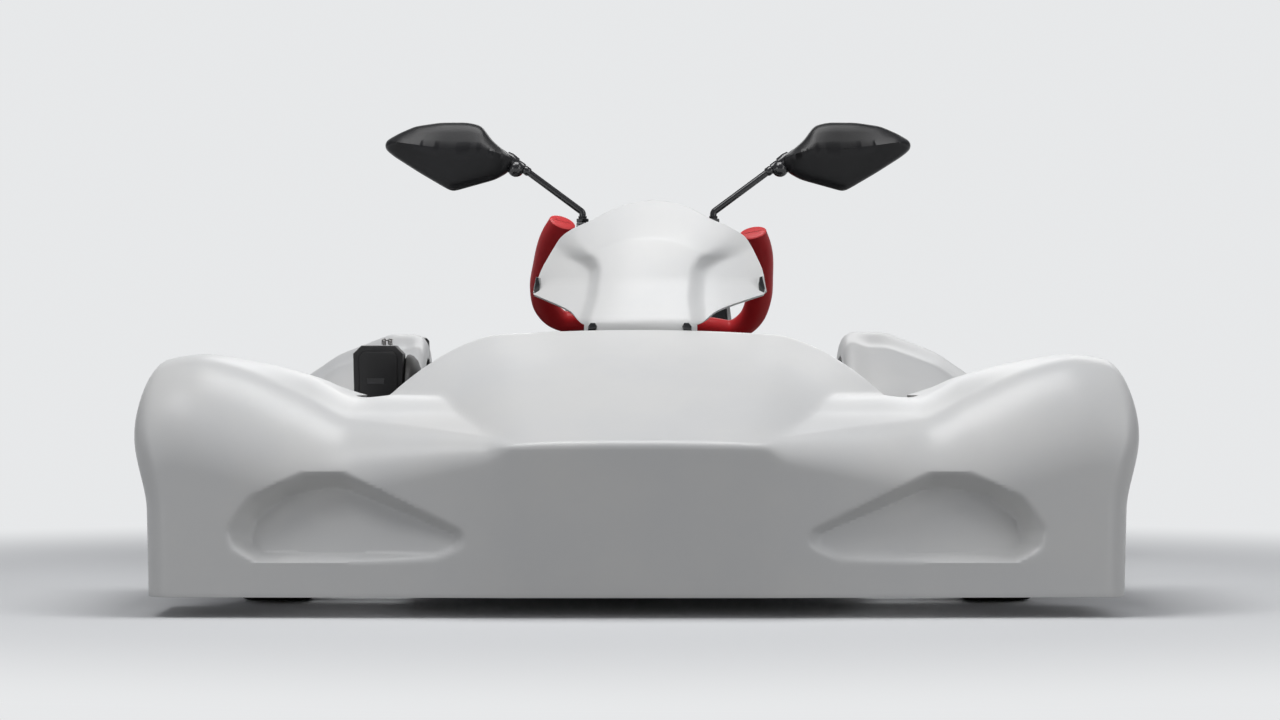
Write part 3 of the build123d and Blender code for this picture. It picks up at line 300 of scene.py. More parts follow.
finishes = {
    "whitePlastic": {
        "colour": (0.76, 0.76, 0.75), "shade": (0.73, 0.735, 0.735), "bare": (0.6, 0.6, 0.6), "rough": 0.35,
        "roughDrift": 0.06, "coat": 0.06, "coatRough": 0.16, "dust": 0.04, "scratch": 0.08,
        "fineScale": 160, "broadScale": 22, "bump": 0.05, "bumpDepth": 0.5,
    },
    "redGrip": {
        "colour": (0.60, 0.010, 0.016), "shade": (0.50, 0.008, 0.013), "bare": (0.66, 0.06, 0.06),
        "rough": 0.46, "dust": 0.1, "scratch": 0.2, "fineScale": 1500, "broadScale": 240, "bump": 0.25,
        "bumpDepth": 0.25,
    },
    "gripEnd": {
        "colour": (0.68, 0.045, 0.048), "shade": (0.62, 0.035, 0.04), "bare": (1, 0.122, 0.1268),
        "rough": 0.42, "dust": 0.05, "scratch": 0.15, "fineScale": 1200, "bump": 0.15,
    },
    "blackPlastic": {
        "colour": (0.013, 0.013, 0.014), "shade": (0.019, 0.019, 0.020), "bare": (0.07, 0.07, 0.07),
        "rough": 0.46, "ior": 1.42, "dust": 0.14, "fineScale": 1100, "broadScale": 300, "bump": 0.35,
    },
    "satinBlack": {
        "colour": (0.014, 0.014, 0.016), "shade": (0.010, 0.010, 0.011), "bare": (0.05, 0.05, 0.05),
        "rough": 0.36, "ior": 1.4, "dust": 0.05, "scratch": 0.15, "fineScale": 1600, "broadScale": 500,
        "bump": 0.22, "bumpDepth": 0.2,
    },
    "agedPatch": {
        "colour": (0.05, 0.05, 0.052), "shade": (0.036, 0.036, 0.038), "bare": (0.12, 0.12, 0.12),
        "rough": 0.4, "dust": 0.15, "scratch": 0.4, "bump": 0.15,
    },
    "glossBlack": {
        "colour": (0.014, 0.014, 0.016), "shade": (0.02, 0.02, 0.022), "bare": (0.06, 0.06, 0.06),
        "rough": 0.16, "coat": 0.6, "dust": 0.06, "scratch": 0.2, "fineScale": 500, "bump": 0.05,
    },
    "tyreRubber": {
        "colour": (0.018, 0.018, 0.019), "shade": (0.030, 0.029, 0.028), "bare": (0.06, 0.058, 0.055),
        "rough": 0.78, "roughDrift": 0.2, "dust": 0.35, "dustScale": 16, "scratch": 0.35, "fineScale": 700,
        "broadScale": 120, "bump": 0.6, "bumpDepth": 0.5,
    },
    "framePaint": {
        "colour": (0.028, 0.029, 0.032), "shade": (0.036, 0.037, 0.04), "bare": (0.30, 0.29, 0.28),
        "rough": 0.32, "coat": 0.3, "scratch": 0.5, "fineScale": 800, "bump": 0.12,
    },
    "castAlloy": {
        "colour": (0.42, 0.42, 0.43), "shade": (0.33, 0.33, 0.335), "bare": (0.66, 0.66, 0.66),
        "metal": 0.9, "rough": 0.52, "fineScale": 600, "broadScale": 260, "bump": 0.5, "bumpDepth": 0.4,
        "dustColour": (0.16, 0.14, 0.12),
    },
    "machinedAlloy": {
        "colour": (0.68, 0.68, 0.69), "shade": (0.60, 0.60, 0.61), "bare": (0.8, 0.8, 0.8), "metal": 1,
        "rough": 0.30, "dust": 0.15, "scratch": 0.4, "bump": 0.12, "dustColour": (0.2, 0.18, 0.16),
    },
    "brightSteel": {
        "colour": (0.56, 0.55, 0.53), "shade": (0.46, 0.45, 0.44), "bare": (0.72, 0.70, 0.68), "metal": 1,
        "rough": 0.28, "dust": 0.15, "scratch": 0.5, "dustColour": (0.16, 0.13, 0.1),
    },
    "oiledChain": {
        "colour": (0.20, 0.19, 0.18), "shade": (0.12, 0.11, 0.10), "bare": (0.5, 0.5, 0.5), "metal": 0.9,
        "rough": 0.36, "dust": 0.3, "scratch": 0.5, "fineScale": 1500, "bump": 0.4,
        "dustColour": (0.06, 0.05, 0.04),
    },
    "heatedSteel": {
        "colour": (0.30, 0.26, 0.22), "shade": (0.20, 0.19, 0.20), "bare": (0.45, 0.4, 0.36), "metal": 0.9,
        "rough": 0.5, "dust": 0.3, "scratch": 0.4, "fineScale": 500, "bump": 0.4,
        "dustColour": (0.20, 0.13, 0.09),
    },
    "seatShell": {
        "colour": (0.05, 0.052, 0.056), "shade": (0.035, 0.036, 0.04), "bare": (0.12, 0.12, 0.12),
        "rough": 0.34, "coat": 0.25, "dust": 0.2, "scratch": 0.35, "fineScale": 300, "broadScale": 90,
        "bump": 0.2, "bumpDepth": 0.4,
    },
    "tankPlastic": {
        "colour": (0.52, 0.51, 0.46), "shade": (0.46, 0.45, 0.40), "bare": (0.6, 0.6, 0.56), "rough": 0.42,
        "scratch": 0.2, "fineScale": 700, "bump": 0.2,
    },
    "trayAlloy": {
        "colour": (0.50, 0.50, 0.51), "shade": (0.40, 0.40, 0.41), "bare": (0.7, 0.7, 0.7), "metal": 0.9,
        "rough": 0.44, "dust": 0.4, "scratch": 0.6, "fineScale": 700, "bump": 0.2,
        "dustColour": (0.2, 0.18, 0.16),
    },
    "mirrorFace": {
        "colour": (0.78, 0.80, 0.82), "shade": (0.75, 0.77, 0.79), "bare": (1, 1, 1), "metal": 1,
        "rough": 0.04, "roughDrift": 0.03, "dust": 0.06, "scratch": 0.05, "bump": 0.01,
    },
}
paint = {name: makeFinish(name, look) for name, look in finishes.items()}
print("finishes made")


# CAD nodes that keep their shape or have it modelled again below, by finish

finishNodes = {
    "whitePlastic": "front_cowl steering_fairing side_pod_left side_pod_right rear_fender_left"
                    " rear_fender_right",
    "blackPlastic": "rear_bumper_cover air_box_and_shroud",
    "framePaint": "main_rail_left main_rail_right cross_tubes front_axle_beam front_hoop side_guard_left"
                  " side_guard_right rear_bumper_frame seat_stays steering_support",
    "machinedAlloy": "tie_rod_left tie_rod_right front_rim_left front_rim_right rear_rims sprocket pedals",
    "castAlloy": "knuckle_left knuckle_right rear_bearings brake_caliper",
    "brightSteel": "steering_column rear_axle brake_disc",
    "tyreRubber": "front_tyre_left front_tyre_right rear_tyres",
    "satinBlack": "mirror_left mirror_right engine_block",
    "redGrip": "steering_wheel",
    "mirrorFace": "mirror_glasses",
    "trayAlloy": "floor_tray",
    "seatShell": "seat",
    "heatedSteel": "muffler",
    "oiledChain": "chain",
    "tankPlastic": "fuel_tank",
}
for finish, nodeNames in finishNodes.items():
    for nodeName in nodeNames.split():
        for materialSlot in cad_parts[nodeName].material_slots:
            materialSlot.material = paint[finish]
print("CAD nodes painted")


# small tools for the new pieces

def monotone(xs, ys, x):
    # smooth curve through the points that never overshoots; ys may hold one row of values per point
    xs, ys = np.asarray(xs, float), np.asarray(ys, float)
    wide = ys.ndim > 1
    slopes = np.diff(ys, axis=0) / (np.diff(xs)[:, None] if wide else np.diff(xs))
    tangents = np.zeros_like(ys)
    tangents[0], tangents[-1] = slopes[0], slopes[-1]
    product, total = slopes[:-1] * slopes[1:], slopes[:-1] + slopes[1:]
    total = np.where(np.abs(total) < 1e-12, 1, total)
    tangents[1:-1] = np.where(product > 0, 2 * product / total, 0)
    at = np.clip(np.searchsorted(xs, x) - 1, 0, len(xs) - 2)
    width = xs[at + 1] - xs[at]
    t = np.clip((x - xs[at]) / width, 0, 1)
    which = (at, np.arange(len(x))) if wide else at
    after = (at + 1, np.arange(len(x))) if wide else at + 1
    return ((2 * t**3 - 3 * t**2 + 1) * ys[which] + (t**3 - 2 * t**2 + t) * width * tangents[which]
            + (3 * t**2 - 2 * t**3) * ys[after] + (t**3 - t**2) * width * tangents[after])


def smoothStep(value, low, high):
    t = np.clip((value - low) / (high - low), 0, 1)
    return t * t * (3 - 2 * t)


def roundMax(a, b, radius):
    # larger of two distances, with a rounded outer corner
    near = (a > -radius) & (b > -radius)
    rounded = np.hypot(np.maximum(a + radius, 0), np.maximum(b + radius, 0)) - radius
    return np.where(near, rounded, np.maximum(a, b))


def softMax(a, b, width):
    # larger of two heights, with a filled inner corner
    blend = np.clip(width - np.abs(a - b), 0, None) / width
    return np.maximum(a, b) + blend**2 * width / 4


def insetPolygon(points, amount):
    points = np.asarray(points, float)
    area = np.sum(points[:, 0] * np.roll(points[:, 1], -1) - np.roll(points[:, 0], -1) * points[:, 1])
    edges = np.roll(points, -1, axis=0) - points
    edges /= np.linalg.norm(edges, axis=1)[:, None]
    inward = np.stack([-edges[:, 1], edges[:, 0]], axis=1) * np.sign(area)
    moved = []
    for i in range(len(points)):
        before, here = inward[i - 1], inward[i]
        moved.append(points[i] + amount * (before + here) / (1 + before @ here))
    return np.array(moved)


def polygonDistance(points, x, z):
    # below zero inside, and the corners of its outer contours are round
    points = np.asarray(points, float)
    best = np.full(x.shape, 1e9)
    inside = np.zeros(x.shape, bool)
    for (x0, z0), (x1, z1) in zip(points, np.roll(points, -1, axis=0)):
        runX, runZ = x1 - x0, z1 - z0
        along = np.clip(((x - x0) * runX + (z - z0) * runZ) / (runX**2 + runZ**2), 0, 1)
        best = np.minimum(best, np.hypot(x - x0 - along * runX, z - z0 - along * runZ))
        crosses = (z0 > z) != (z1 > z)
        if runZ:
            inside ^= crosses & (x < x0 + (z - z0) * runX / runZ)
    return np.where(inside, -best, best)


def setPlaces(bm, places):
    for v, place in zip(bm.verts, places):
        v.co = place


def makePiece(bm, name, materials, replaces=(), body="chassis", sharpAngle=40, thick=0, bevel=0):
    # places are in millimetres until here
    bmesh.ops.scale(bm, vec=(mm, mm, mm), verts=bm.verts)
    for e in bm.edges:
        if len(e.link_faces) == 2:
            e.smooth = e.calc_face_angle(0) < math.radians(sharpAngle)
    mesh = toMesh(bm, name)
    for f in mesh.polygons:
        f.use_smooth = True
    for material in materials:
        mesh.materials.append(paint[material])
    piece = bpy.data.objects.new(name, mesh)
    putInScene(piece)
    if thick:
        shell = piece.modifiers.new("wall", "SOLIDIFY")
        shell.thickness, shell.offset, shell.use_even_offset = thick * mm, -1, True
    if bevel:
        edge = piece.modifiers.new("softEdge", "BEVEL")
        edge.width, edge.segments = bevel * mm, 2
        edge.limit_method, edge.angle_limit = "ANGLE", math.radians(40)
    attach(piece, body)
    if replaces:
        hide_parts(*replaces)
    print("made", name)


# front cowl: one moulded shell over both front wheels and the nose

cowl = {
    "noseY": -880, "hemZ": 27, "backY": -335, "wall": 4, "wellHalf": 392, "wellY": -545,
    "archPlace": (-490, 128), "archRadius": 170, "archSnap": 3.3, "openBack": (-400, 190),
    "hemHalf": 643.6, "waistZ": 140, "waistLean": 0.03, "concaveBlend": 3,
    "rootX": 330, "overEdge": (700, 60),
    # rounding between top and front by x, and between these and the side by z
    "frontRound": [(170, 6), (192, 30), (260, 48), (340, 70), (450, 100), (600, 118)],
    "sideRound": [(200, 32), (285, 8)],
    # back from the nose; root z; (x, z) of dip, slope, shoulder, top, corner and widest place
    "humps": [
        (-20, 221, (378, 217), (440, 229), (560, 268), (612, 280), (640, 276), (654, 235)),
        (60, 244, (378, 242), (440, 259), (560, 308), (604, 321), (638, 313), (663, 238)),
        (135, 267, (378, 266), (440, 290), (540, 330), (592, 341), (641, 334), (667.8, 242)),
        (230, 290, (378, 286), (440, 315), (520, 336), (588, 346), (640, 338), (667.8, 245)),
        (545, 290, (378, 286), (440, 302), (560, 327), (608, 331), (643, 326), (667.8, 235)),
    ],
    # back from the nose; (x, z) of the crease, crown, then (x, z) of the side panel's middle and foot
    "hood": [
        (-20, (122, 217), 2, (156, 215), (190, 210)),
        (160, (163, 309), 3, (229, 286), (284, 240)),
        (335, (200, 373), 7, (276, 341), (341, 292)),
    ],
    # z, then how far back from the nose at each place of bladeX
    "blade": [(10, 24, 24, 25, 27.5, 29, 37, 43), (226, 0, 1, 8, 18, 26, 46, 54),
              (420, -22, -21, -8, 8, 22, 56, 66)],
    "bladeX": (0, 150, 190, 235, 290, 606, 690),
    # empty recess: (x, z) of its floor and of its mouth, and how the floor's depth changes with z and x
    "recess": [(262, 87), (490, 83), (508, 96), (500, 128), (462, 156), (410, 167), (382, 166), (224, 102)],
    "mouth": [(262, 74), (500, 73), (533, 90), (540, 116), (508, 160), (440, 192), (385, 193), (204, 104)],
    "recessBack": 54, "recessLean": 0.3, "recessTurn": 0.15, "recessFoot": (390, 90),
    "recessCorner": 9, "mouthCorner": 16, "mouthSoft": 0.85,
    # the grid is pushed out from this core, and these are its cells between lines along x, y and z
    "core": (600, -780, 180), "sideWay": 60,
    "cells": [(14, 9, 36, 43, 40, 43, 36, 9, 14), (20, 39, 35), (6, 32, 15)],
    "lines": [(-690, -600, -545, -392, -205, 205, 392, 545, 600, 690), (-910, -780, -545, -335),
              (27, 64, 200, 300)],
}


def hoodHeight(x, back):
    stations = [row[0] for row in cowl["hood"]]
    flat = [(*row[1], row[2], *row[3], *row[4]) for row in cowl["hood"]]
    lines = [monotone(stations, line, back) for line in zip(*flat)]
    creaseX, creaseZ, crown, sideX, sideZ, footX, footZ = lines
    panel = creaseZ + crown * (1 - (x / creaseX) ** 2)
    side = (creaseZ * (x - sideX) * (x - footX) / ((creaseX - sideX) * (creaseX - footX))
            + sideZ * (x - creaseX) * (x - footX) / ((sideX - creaseX) * (sideX - footX))
            + footZ * (x - creaseX) * (x - sideX) / ((footX - creaseX) * (footX - sideX)))
    slope = (footZ - sideZ) / (footX - sideX) - 0.5
    return np.where(x < creaseX, panel, np.where(x < footX, side, footZ + slope * (x - footX)))


def humpHeight(x, back):
    farX, fall = cowl["overEdge"]
    rows = []
    for _, root, dip, slope, shoulder, top, corner, _ in cowl["humps"]:
        over = (farX, corner[1] - fall)
        points = [(0, root), (cowl["rootX"], root), dip, slope, shoulder, top, corner, over]
        rows.append(monotone(*zip(*points), x))
    return monotone([row[0] for row in cowl["humps"]], rows, back)


def sideReach(z, back):
    stations = [row[0] for row in cowl["humps"]]
    corners, bulges = [row[6] for row in cowl["humps"]], [row[7] for row in cowl["humps"]]
    bulgeX, bulgeZ = (monotone(stations, line, back) for line in zip(*bulges))
    cornerX, cornerZ = (monotone(stations, line, back) for line in zip(*corners))
    waist = cowl["hemHalf"] + cowl["waistLean"] * (z - cowl["hemZ"])
    below = waist + (bulgeX - waist) * smoothStep(z, cowl["waistZ"], bulgeZ)
    above = bulgeX - (bulgeX - cornerX) * ((z - bulgeZ) / (cornerZ - bulgeZ)) ** 2
    return np.where(z < bulgeZ, below, above)


recessCore = insetPolygon(cowl["recess"], cowl["recessCorner"])
mouthCore = insetPolygon(cowl["mouth"], cowl["mouthCorner"])


def bladeBack(x, z):
    rows = [monotone(cowl["bladeX"], row[1:], x) for row in cowl["blade"]]
    levels = [row[0] for row in cowl["blade"]]
    share = (z - levels[0]) / (levels[1] - levels[0])
    low = rows[0] + (rows[1] - rows[0]) * share
    high = rows[1] + (rows[2] - rows[1]) * (z - levels[1]) / (levels[2] - levels[1])
    back = np.where(z < levels[1], low, high)
    away = np.maximum(polygonDistance(recessCore, x, z) - cowl["recessCorner"], 0)
    room = np.maximum(cowl["mouthCorner"] - polygonDistance(mouthCore, x, z), 0)
    share = away / np.maximum(away + room, 1e-6)
    share += cowl["mouthSoft"] * (smoothStep(share, 0, 1) - share)
    footX, footZ = cowl["recessFoot"]
    floor = cowl["recessBack"] + cowl["recessLean"] * (z - footZ) + cowl["recessTurn"] * (x - footX)
    return back + (floor - back) * (1 - share)


def cowlField(places):
    x, y, z = np.abs(places[:, 0]), places[:, 1], places[:, 2]
    back = y - cowl["noseY"]
    top = z - softMax(humpHeight(x, back), hoodHeight(x, back), cowl["concaveBlend"])
    front = bladeBack(x, z) - back
    side = x - sideReach(z, back)
    body = roundMax(top, front, np.interp(x, *zip(*cowl["frontRound"])))
    return roundMax(body, side, np.interp(z, *zip(*cowl["sideRound"])))


def pushOut(start, way, most=2.5):
    # from inside the body to its surface
    low, high = np.zeros(len(start)), np.full(len(start), most)
    for _ in range(26):
        middle = 0.5 * (low + high)
        inside = cowlField(start + way * middle[:, None]) < 0
        low, high = np.where(inside, middle, low), np.where(inside, high, middle)
    return start + way * (0.5 * (low + high))[:, None]


bm = bmesh.new()
bmesh.ops.create_cube(bm, size=2)
openFaces = [f for f in bm.faces if f.normal.y > 0.9 or f.normal.z < -0.9]
bmesh.ops.delete(bm, geom=openFaces, context="FACES")
for axis, cells in enumerate(cowl["cells"]):
    edges = [e for e in bm.edges if abs((e.verts[0].co - e.verts[1].co)[axis]) > 1e-6]
    bmesh.ops.subdivide_edges(bm, edges=edges, cuts=sum(cells) - 1, use_grid_fill=True)
places = np.array([v.co for v in bm.verts], float)
for axis, (cells, lines) in enumerate(zip(cowl["cells"], cowl["lines"])):
    atCell = (places[:, axis] + 1) / 2 * sum(cells)
    places[:, axis] = np.interp(atCell, np.concatenate([[0], np.cumsum(cells)]), lines)
coreX, coreY, coreZ = cowl["core"]
core = np.stack([np.clip(places[:, 0], -coreX, coreX), np.maximum(places[:, 1], coreY),
                 np.minimum(places[:, 2], coreZ)], axis=1)
onSide = np.abs(places[:, 0]) > cowl["lines"][0][-1] - 1
inWell = (np.abs(places[:, 0]) < cowl["wellHalf"] - 1) & (places[:, 1] > cowl["wellY"] + 1)
places = pushOut(core, places - core)

# wheel arches: points near the circle slide onto it, and what is inside goes
offset = places[:, 1:] - np.array(cowl["archPlace"])
reach = np.hypot(offset[:, 0], offset[:, 1])
near = onSide & (np.abs(reach - cowl["archRadius"]) < cowl["archSnap"])
onCircle = offset[near] * (cowl["archRadius"] / reach[near])[:, None]
places[near, 1:] = np.array(cowl["archPlace"]) + onCircle
start = places[near]
start[:, 0] = coreX * np.sign(start[:, 0])
places[near] = pushOut(start, np.sign(start[:, :1]) * (cowl["sideWay"], 0, 0))
setPlaces(bm, places)
bm.verts.ensure_lookup_table()
inArch = onSide & ~near & (reach < cowl["archRadius"])
for f in list(bm.faces):
    inner = [v for v in f.verts if inArch[v.index]]
    if len(inner) == 1 and len(f.verts) == 4 and sum(near[v.index] for v in f.verts) == 2:
        ends = [e.other_vert(inner[0]) for e in inner[0].link_edges if e in f.edges]
        if all(near[v.index] for v in ends):
            bmesh.utils.face_split(f, ends[0], ends[1])
backY, backZ = cowl["openBack"]
gone = []
for f in bm.faces:
    middle = f.calc_center_median()
    behind = middle.y > backY and middle.z < backZ
    if behind or any(inArch[v.index] or inWell[v.index] for v in f.verts):
        gone.append(f)
bmesh.ops.delete(bm, geom=gone, context="FACES")
bmesh.ops.recalc_face_normals(bm, faces=bm.faces)
makePiece(bm, "frontCowlShell", ["whitePlastic"], ["front_cowl"], sharpAngle=38,
          thick=cowl["wall"], bevel=0.8)


def bendGrid(surface, closedRing=False):
    # a grid laid over rows of places, each row along the last axis but one
    rows, columns = surface.shape[:2]
    bm = bmesh.new()
    bmesh.ops.create_grid(bm, x_segments=columns - 1, y_segments=rows - 1, size=1)
    setPlaces(bm, surface.reshape(-1, 3))
    if closedRing:
        bmesh.ops.remove_doubles(bm, verts=bm.verts, dist=1e-4)
    return bm


def capEnds(bm):
    bmesh.ops.holes_fill(bm, edges=[e for e in bm.edges if e.is_boundary], sides=0)


def faceAlong(bm, direction):
    # an open sheet's outside looks this way
    bmesh.ops.recalc_face_normals(bm, faces=bm.faces)
    total = sum((f.normal * f.calc_area() for f in bm.faces), Vector())
    if total.dot(Vector(direction)) < 0:
        bmesh.ops.reverse_faces(bm, faces=bm.faces)


def lengthsAlong(points):
    return np.concatenate([[0], np.cumsum(np.linalg.norm(np.diff(points, axis=0), axis=1))])


def evenSteps(points, count, endpoint=True):
    lengths = lengthsAlong(points)
    at = np.linspace(0, lengths[-1], count, endpoint=endpoint)
    return np.stack([np.interp(at, lengths, line) for line in points.T], axis=1)


def softProfile(points, count, passes):
    # even steps along straight runs, with the corners rounded by averaging
    line = evenSteps(np.asarray(points, float), count)
    for _ in range(passes):
        line[1:-1] = 0.25 * line[:-2] + 0.5 * line[1:-1] + 0.25 * line[2:]
    return line


def roundLoop(points, count, passes):
    # the same for a closed outline
    loop = evenSteps(np.array(points + points[:1], float), count, endpoint=False)
    for _ in range(passes):
        loop = 0.25 * np.roll(loop, 1, axis=0) + 0.5 * loop + 0.25 * np.roll(loop, -1, axis=0)
    return loop


def smoothPath(points, steps):
    # one flowing line through all the points
    points = np.asarray(points, float)
    ends = np.vstack([2 * points[0] - points[1], points, 2 * points[-1] - points[-2]])
    line = []
    for i in range(1, len(ends) - 2):
        a, b, c, d = ends[i - 1:i + 3]
        for t in np.linspace(0, 1, steps, endpoint=False):
            bend, twist = 2 * a - 5 * b + 4 * c - d, 3 * b - a - 3 * c + d
            line.append(0.5 * (2 * b + (c - a) * t + bend * t**2 + twist * t**3))
    line.append(points[-1])
    return np.array(line)


def roundedRoute(points, radius, steps=8):
    # straight runs with arcs at the corners, as a bent tube has
    points = [np.asarray(p, float) for p in points]
    line = [points[0]]
    for before, here, after in zip(points, points[1:], points[2:]):
        back, on = before - here, after - here
        back, on = back / np.linalg.norm(back), on / np.linalg.norm(on)
        half = math.acos(max(-1, min(1, float(back @ on)))) / 2
        cut = radius / math.tan(half)
        first, last = here + back * cut, here + on * cut
        middle = here + (back + on) / np.linalg.norm(back + on) * (radius / math.sin(half))
        for t in np.linspace(0, 1, steps):
            spoke = (first - middle) * (1 - t) + (last - middle) * t
            line.append(middle + spoke / np.linalg.norm(spoke) * radius)
    line.append(points[-1])
    return np.array(line)


def tubePiece(line, radii, ring):
    # rings of places round a line
    line = np.asarray(line, float)
    radii = np.broadcast_to(np.asarray(radii, float), (len(line),))
    along = np.gradient(line, axis=0)
    along /= np.linalg.norm(along, axis=1)[:, None]
    side = np.cross(along[0], (0.31, 0.52, 0.79))
    turn = np.linspace(0, 2 * math.pi, ring + 1)[:, None]
    surface = []
    for i, here in enumerate(line):
        side = side - along[i] * (side @ along[i])
        side /= np.linalg.norm(side)
        surface.append(here + radii[i] * (np.cos(turn) * side + np.sin(turn) * np.cross(along[i], side)))
    bm = bendGrid(np.array(surface), closedRing=True)
    capEnds(bm)
    return bm


def joinInto(target, bm, materialIndex=None):
    # closed parts that make one piece
    bmesh.ops.recalc_face_normals(bm, faces=bm.faces)
    if materialIndex is not None:
        for f in bm.faces:
            f.material_index = materialIndex
    part = toMesh(bm, "part")
    target.from_mesh(part)
    bpy.data.meshes.remove(part)


# steering fairing: a thin swept shield with a proud column and a domed top

fairing = {
    "middle": (30, -330), "turn": -7.5, "half": 166, "wall": 4,
    "sheet": [(330, -194, -166), (391, -193, -150), (450, -140, -70), (517, -92, -20), (575, -44, 10)],
    "topLine": [(0, 569), (36, 563), (84, 541), (131, 517), (153, 482), (162, 461), (166, 437)],
    "lowLine": [(0, 388), (80, 388), (104, 407), (147, 425), (166, 432)],
    "footHalf": 80, "footZ": 330, "bend": 5, "edgeX": 180, "proudFromZ": 400,
    "archMost": 1.4, "domeBlend": 30,
    # z and half width of the proud column, which flares at the ridge under the dome
    "column": [(330, 71), (392, 71), (430, 65), (462, 65), (478, 70), (490, 82), (505, 98), (525, 112),
               (575, 140)],
    "ridge": (511, 23, 85), "rise": 12, "ridgeRise": 21, "fillet": 20, "domeFillet": 52,
}


def turnedFairing(x, depth, z):
    a = math.radians(fairing["turn"])
    return np.stack([fairing["middle"][0] + x * math.cos(a) - depth * math.sin(a),
                     fairing["middle"][1] + x * math.sin(a) + depth * math.cos(a), z], axis=-1)


def fairingDepth(x, z):
    levels, centre, edge = zip(*fairing["sheet"])
    bend = fairing["bend"]
    middleDepth, edgeDepth = (sum(np.interp(z + step, levels, line) for step in (-bend, 0, bend)) / 3
                              for line in (centre, edge))
    half = monotone(*zip(*fairing["column"]), z)
    ridgeZ, arch, reach = fairing["ridge"]
    ridge = ridgeZ - arch * np.minimum(np.abs(x) / reach, fairing["archMost"]) ** 2
    above = np.clip((z - ridge) / (fairing["topLine"][0][1] - ridge), 0, 1)
    inDome = smoothStep(z - ridge, -fairing["domeBlend"], fairing["domeBlend"])
    spread = fairing["fillet"] + (fairing["domeFillet"] - fairing["fillet"]) * inDome
    fromZ = fairing["proudFromZ"]
    growth = np.clip((z - fromZ) / (ridge - fromZ), 0, 1)
    proud = fairing["rise"] + (fairing["ridgeRise"] - fairing["rise"]) * growth
    rise = proud * (1 - above) * (1 - smoothStep(np.abs(x) - half, -3, spread))
    return middleDepth + (edgeDepth - middleDepth) * (x / fairing["edgeX"]) ** 2 - rise


# cells across a wing and the middle, and up the foot and the shield
wing, middle, foot, body = 26, 48, 14, 60
columnX = np.interp(np.arange(2 * wing + middle + 1), (0, wing, wing + middle, 2 * wing + middle),
                    (-fairing["half"], -fairing["footHalf"], fairing["footHalf"], fairing["half"]))
topZ, lowZ = (monotone(*zip(*fairing[name]), np.abs(columnX)) for name in ("topLine", "lowLine"))
rows = [fairing["footZ"] + (lowZ - fairing["footZ"]) * j / foot for j in range(foot)]
rows += [lowZ + (topZ - lowZ) * j / body for j in range(body + 1)]
gridZ = np.array(rows)
gridX = np.broadcast_to(columnX, gridZ.shape)
depth = fairingDepth(gridX.ravel(), gridZ.ravel()).reshape(gridZ.shape)
bm = bendGrid(turnedFairing(gridX, depth, gridZ))
bm.verts.ensure_lookup_table()
extra = []
for f in bm.faces:
    lowestRow = min(v.index for v in f.verts) // len(columnX)
    columns = [v.index % len(columnX) for v in f.verts]
    if lowestRow < foot and (max(columns) <= wing or min(columns) >= wing + middle):
        extra.append(f)
bmesh.ops.delete(bm, geom=extra, context="FACES")
faceAlong(bm, (0, -1, 0))
makePiece(bm, "steeringFairing", ["whitePlastic"], ["steering_fairing"],
          sharpAngle=42, thick=fairing["wall"], bevel=1)


# mirrors: ridged heads on bent stalks, each with a collar, a ball joint and a foot nut

mirror = {
    "middle": (16, -330),
    "head": [(193, 629), (203, 611), (222, 600.5), (258, 590.5), (285, 583), (297, 589.5), (332, 610),
             (369, 633.5), (383, 645), (382, 656), (361, 668), (338, 678), (302, 683.4), (262, 683.6),
             (242, 679), (226, 657), (206, 640)],
    "ridge": [(212, 636), (241, 644.5), (284, 643), (331, 649), (364, 653.5)],
    # share of the way out from the ridge, and depth from the head's middle
    "front": [(0, -25), (0.3, -20), (0.6, -15), (0.8, -11.4), (0.91, -8), (0.97, -4), (1.0, 2)],
    "wall": [(0.997, 12), (0.985, 22), (0.975, 24)], "lip": 5, "lipDepth": 3,
    "stalk": [(95, 539), (95, 553), (214, 641)], "stalkRadius": 5, "bend": 7,
    "joint": (192, 616.5), "jointRadius": 12.5,
    # x and radius along the stalk, and z and radius round its foot
    "collar": [(172, 5.2), (173.5, 6.6), (179, 6.6), (180.5, 5.6), (181, 7.2), (189, 7.2), (190, 6.2),
               (191, 8.6), (200, 9.2), (206, 7.5)],
    "nut": [(537.4, 9.2), (538.2, 10), (543, 10), (543.6, 9), (544, 7), (547, 7), (548, 5.2)],
}


def mirrorHead(side):
    outline = roundLoop(mirror["head"], 132, 4)
    ridge = softProfile(mirror["ridge"], 60, 4)
    ridgeX = np.clip(outline[:, 0], ridge[0, 0], ridge[-1, 0])
    nearest = np.stack([ridgeX, np.interp(ridgeX, ridge[:, 0], ridge[:, 1])], axis=1)
    centre = outline.mean(axis=0)
    rows = [(nearest + (outline - nearest) * s, depth) for s, depth in mirror["front"]]
    rows += [(centre + (outline - centre) * s, depth) for s, depth in mirror["wall"]]
    rim, rimDepth = rows[-1]
    inner = insetPolygon(rim, mirror["lip"])
    rows += [(inner, rimDepth), (inner, rimDepth - mirror["lipDepth"])]
    middleX, middleY = mirror["middle"]
    surface = []
    for loop, depth in rows:
        loop = np.vstack([loop, loop[:1]])
        y = np.full(len(loop), middleY + depth)
        surface.append(np.stack([middleX + side * loop[:, 0], y, loop[:, 1]], axis=1))
    bm = bendGrid(np.array(surface), closedRing=True)
    bmesh.ops.remove_doubles(bm, verts=bm.verts, dist=0.35)
    capEnds(bm)
    return bm


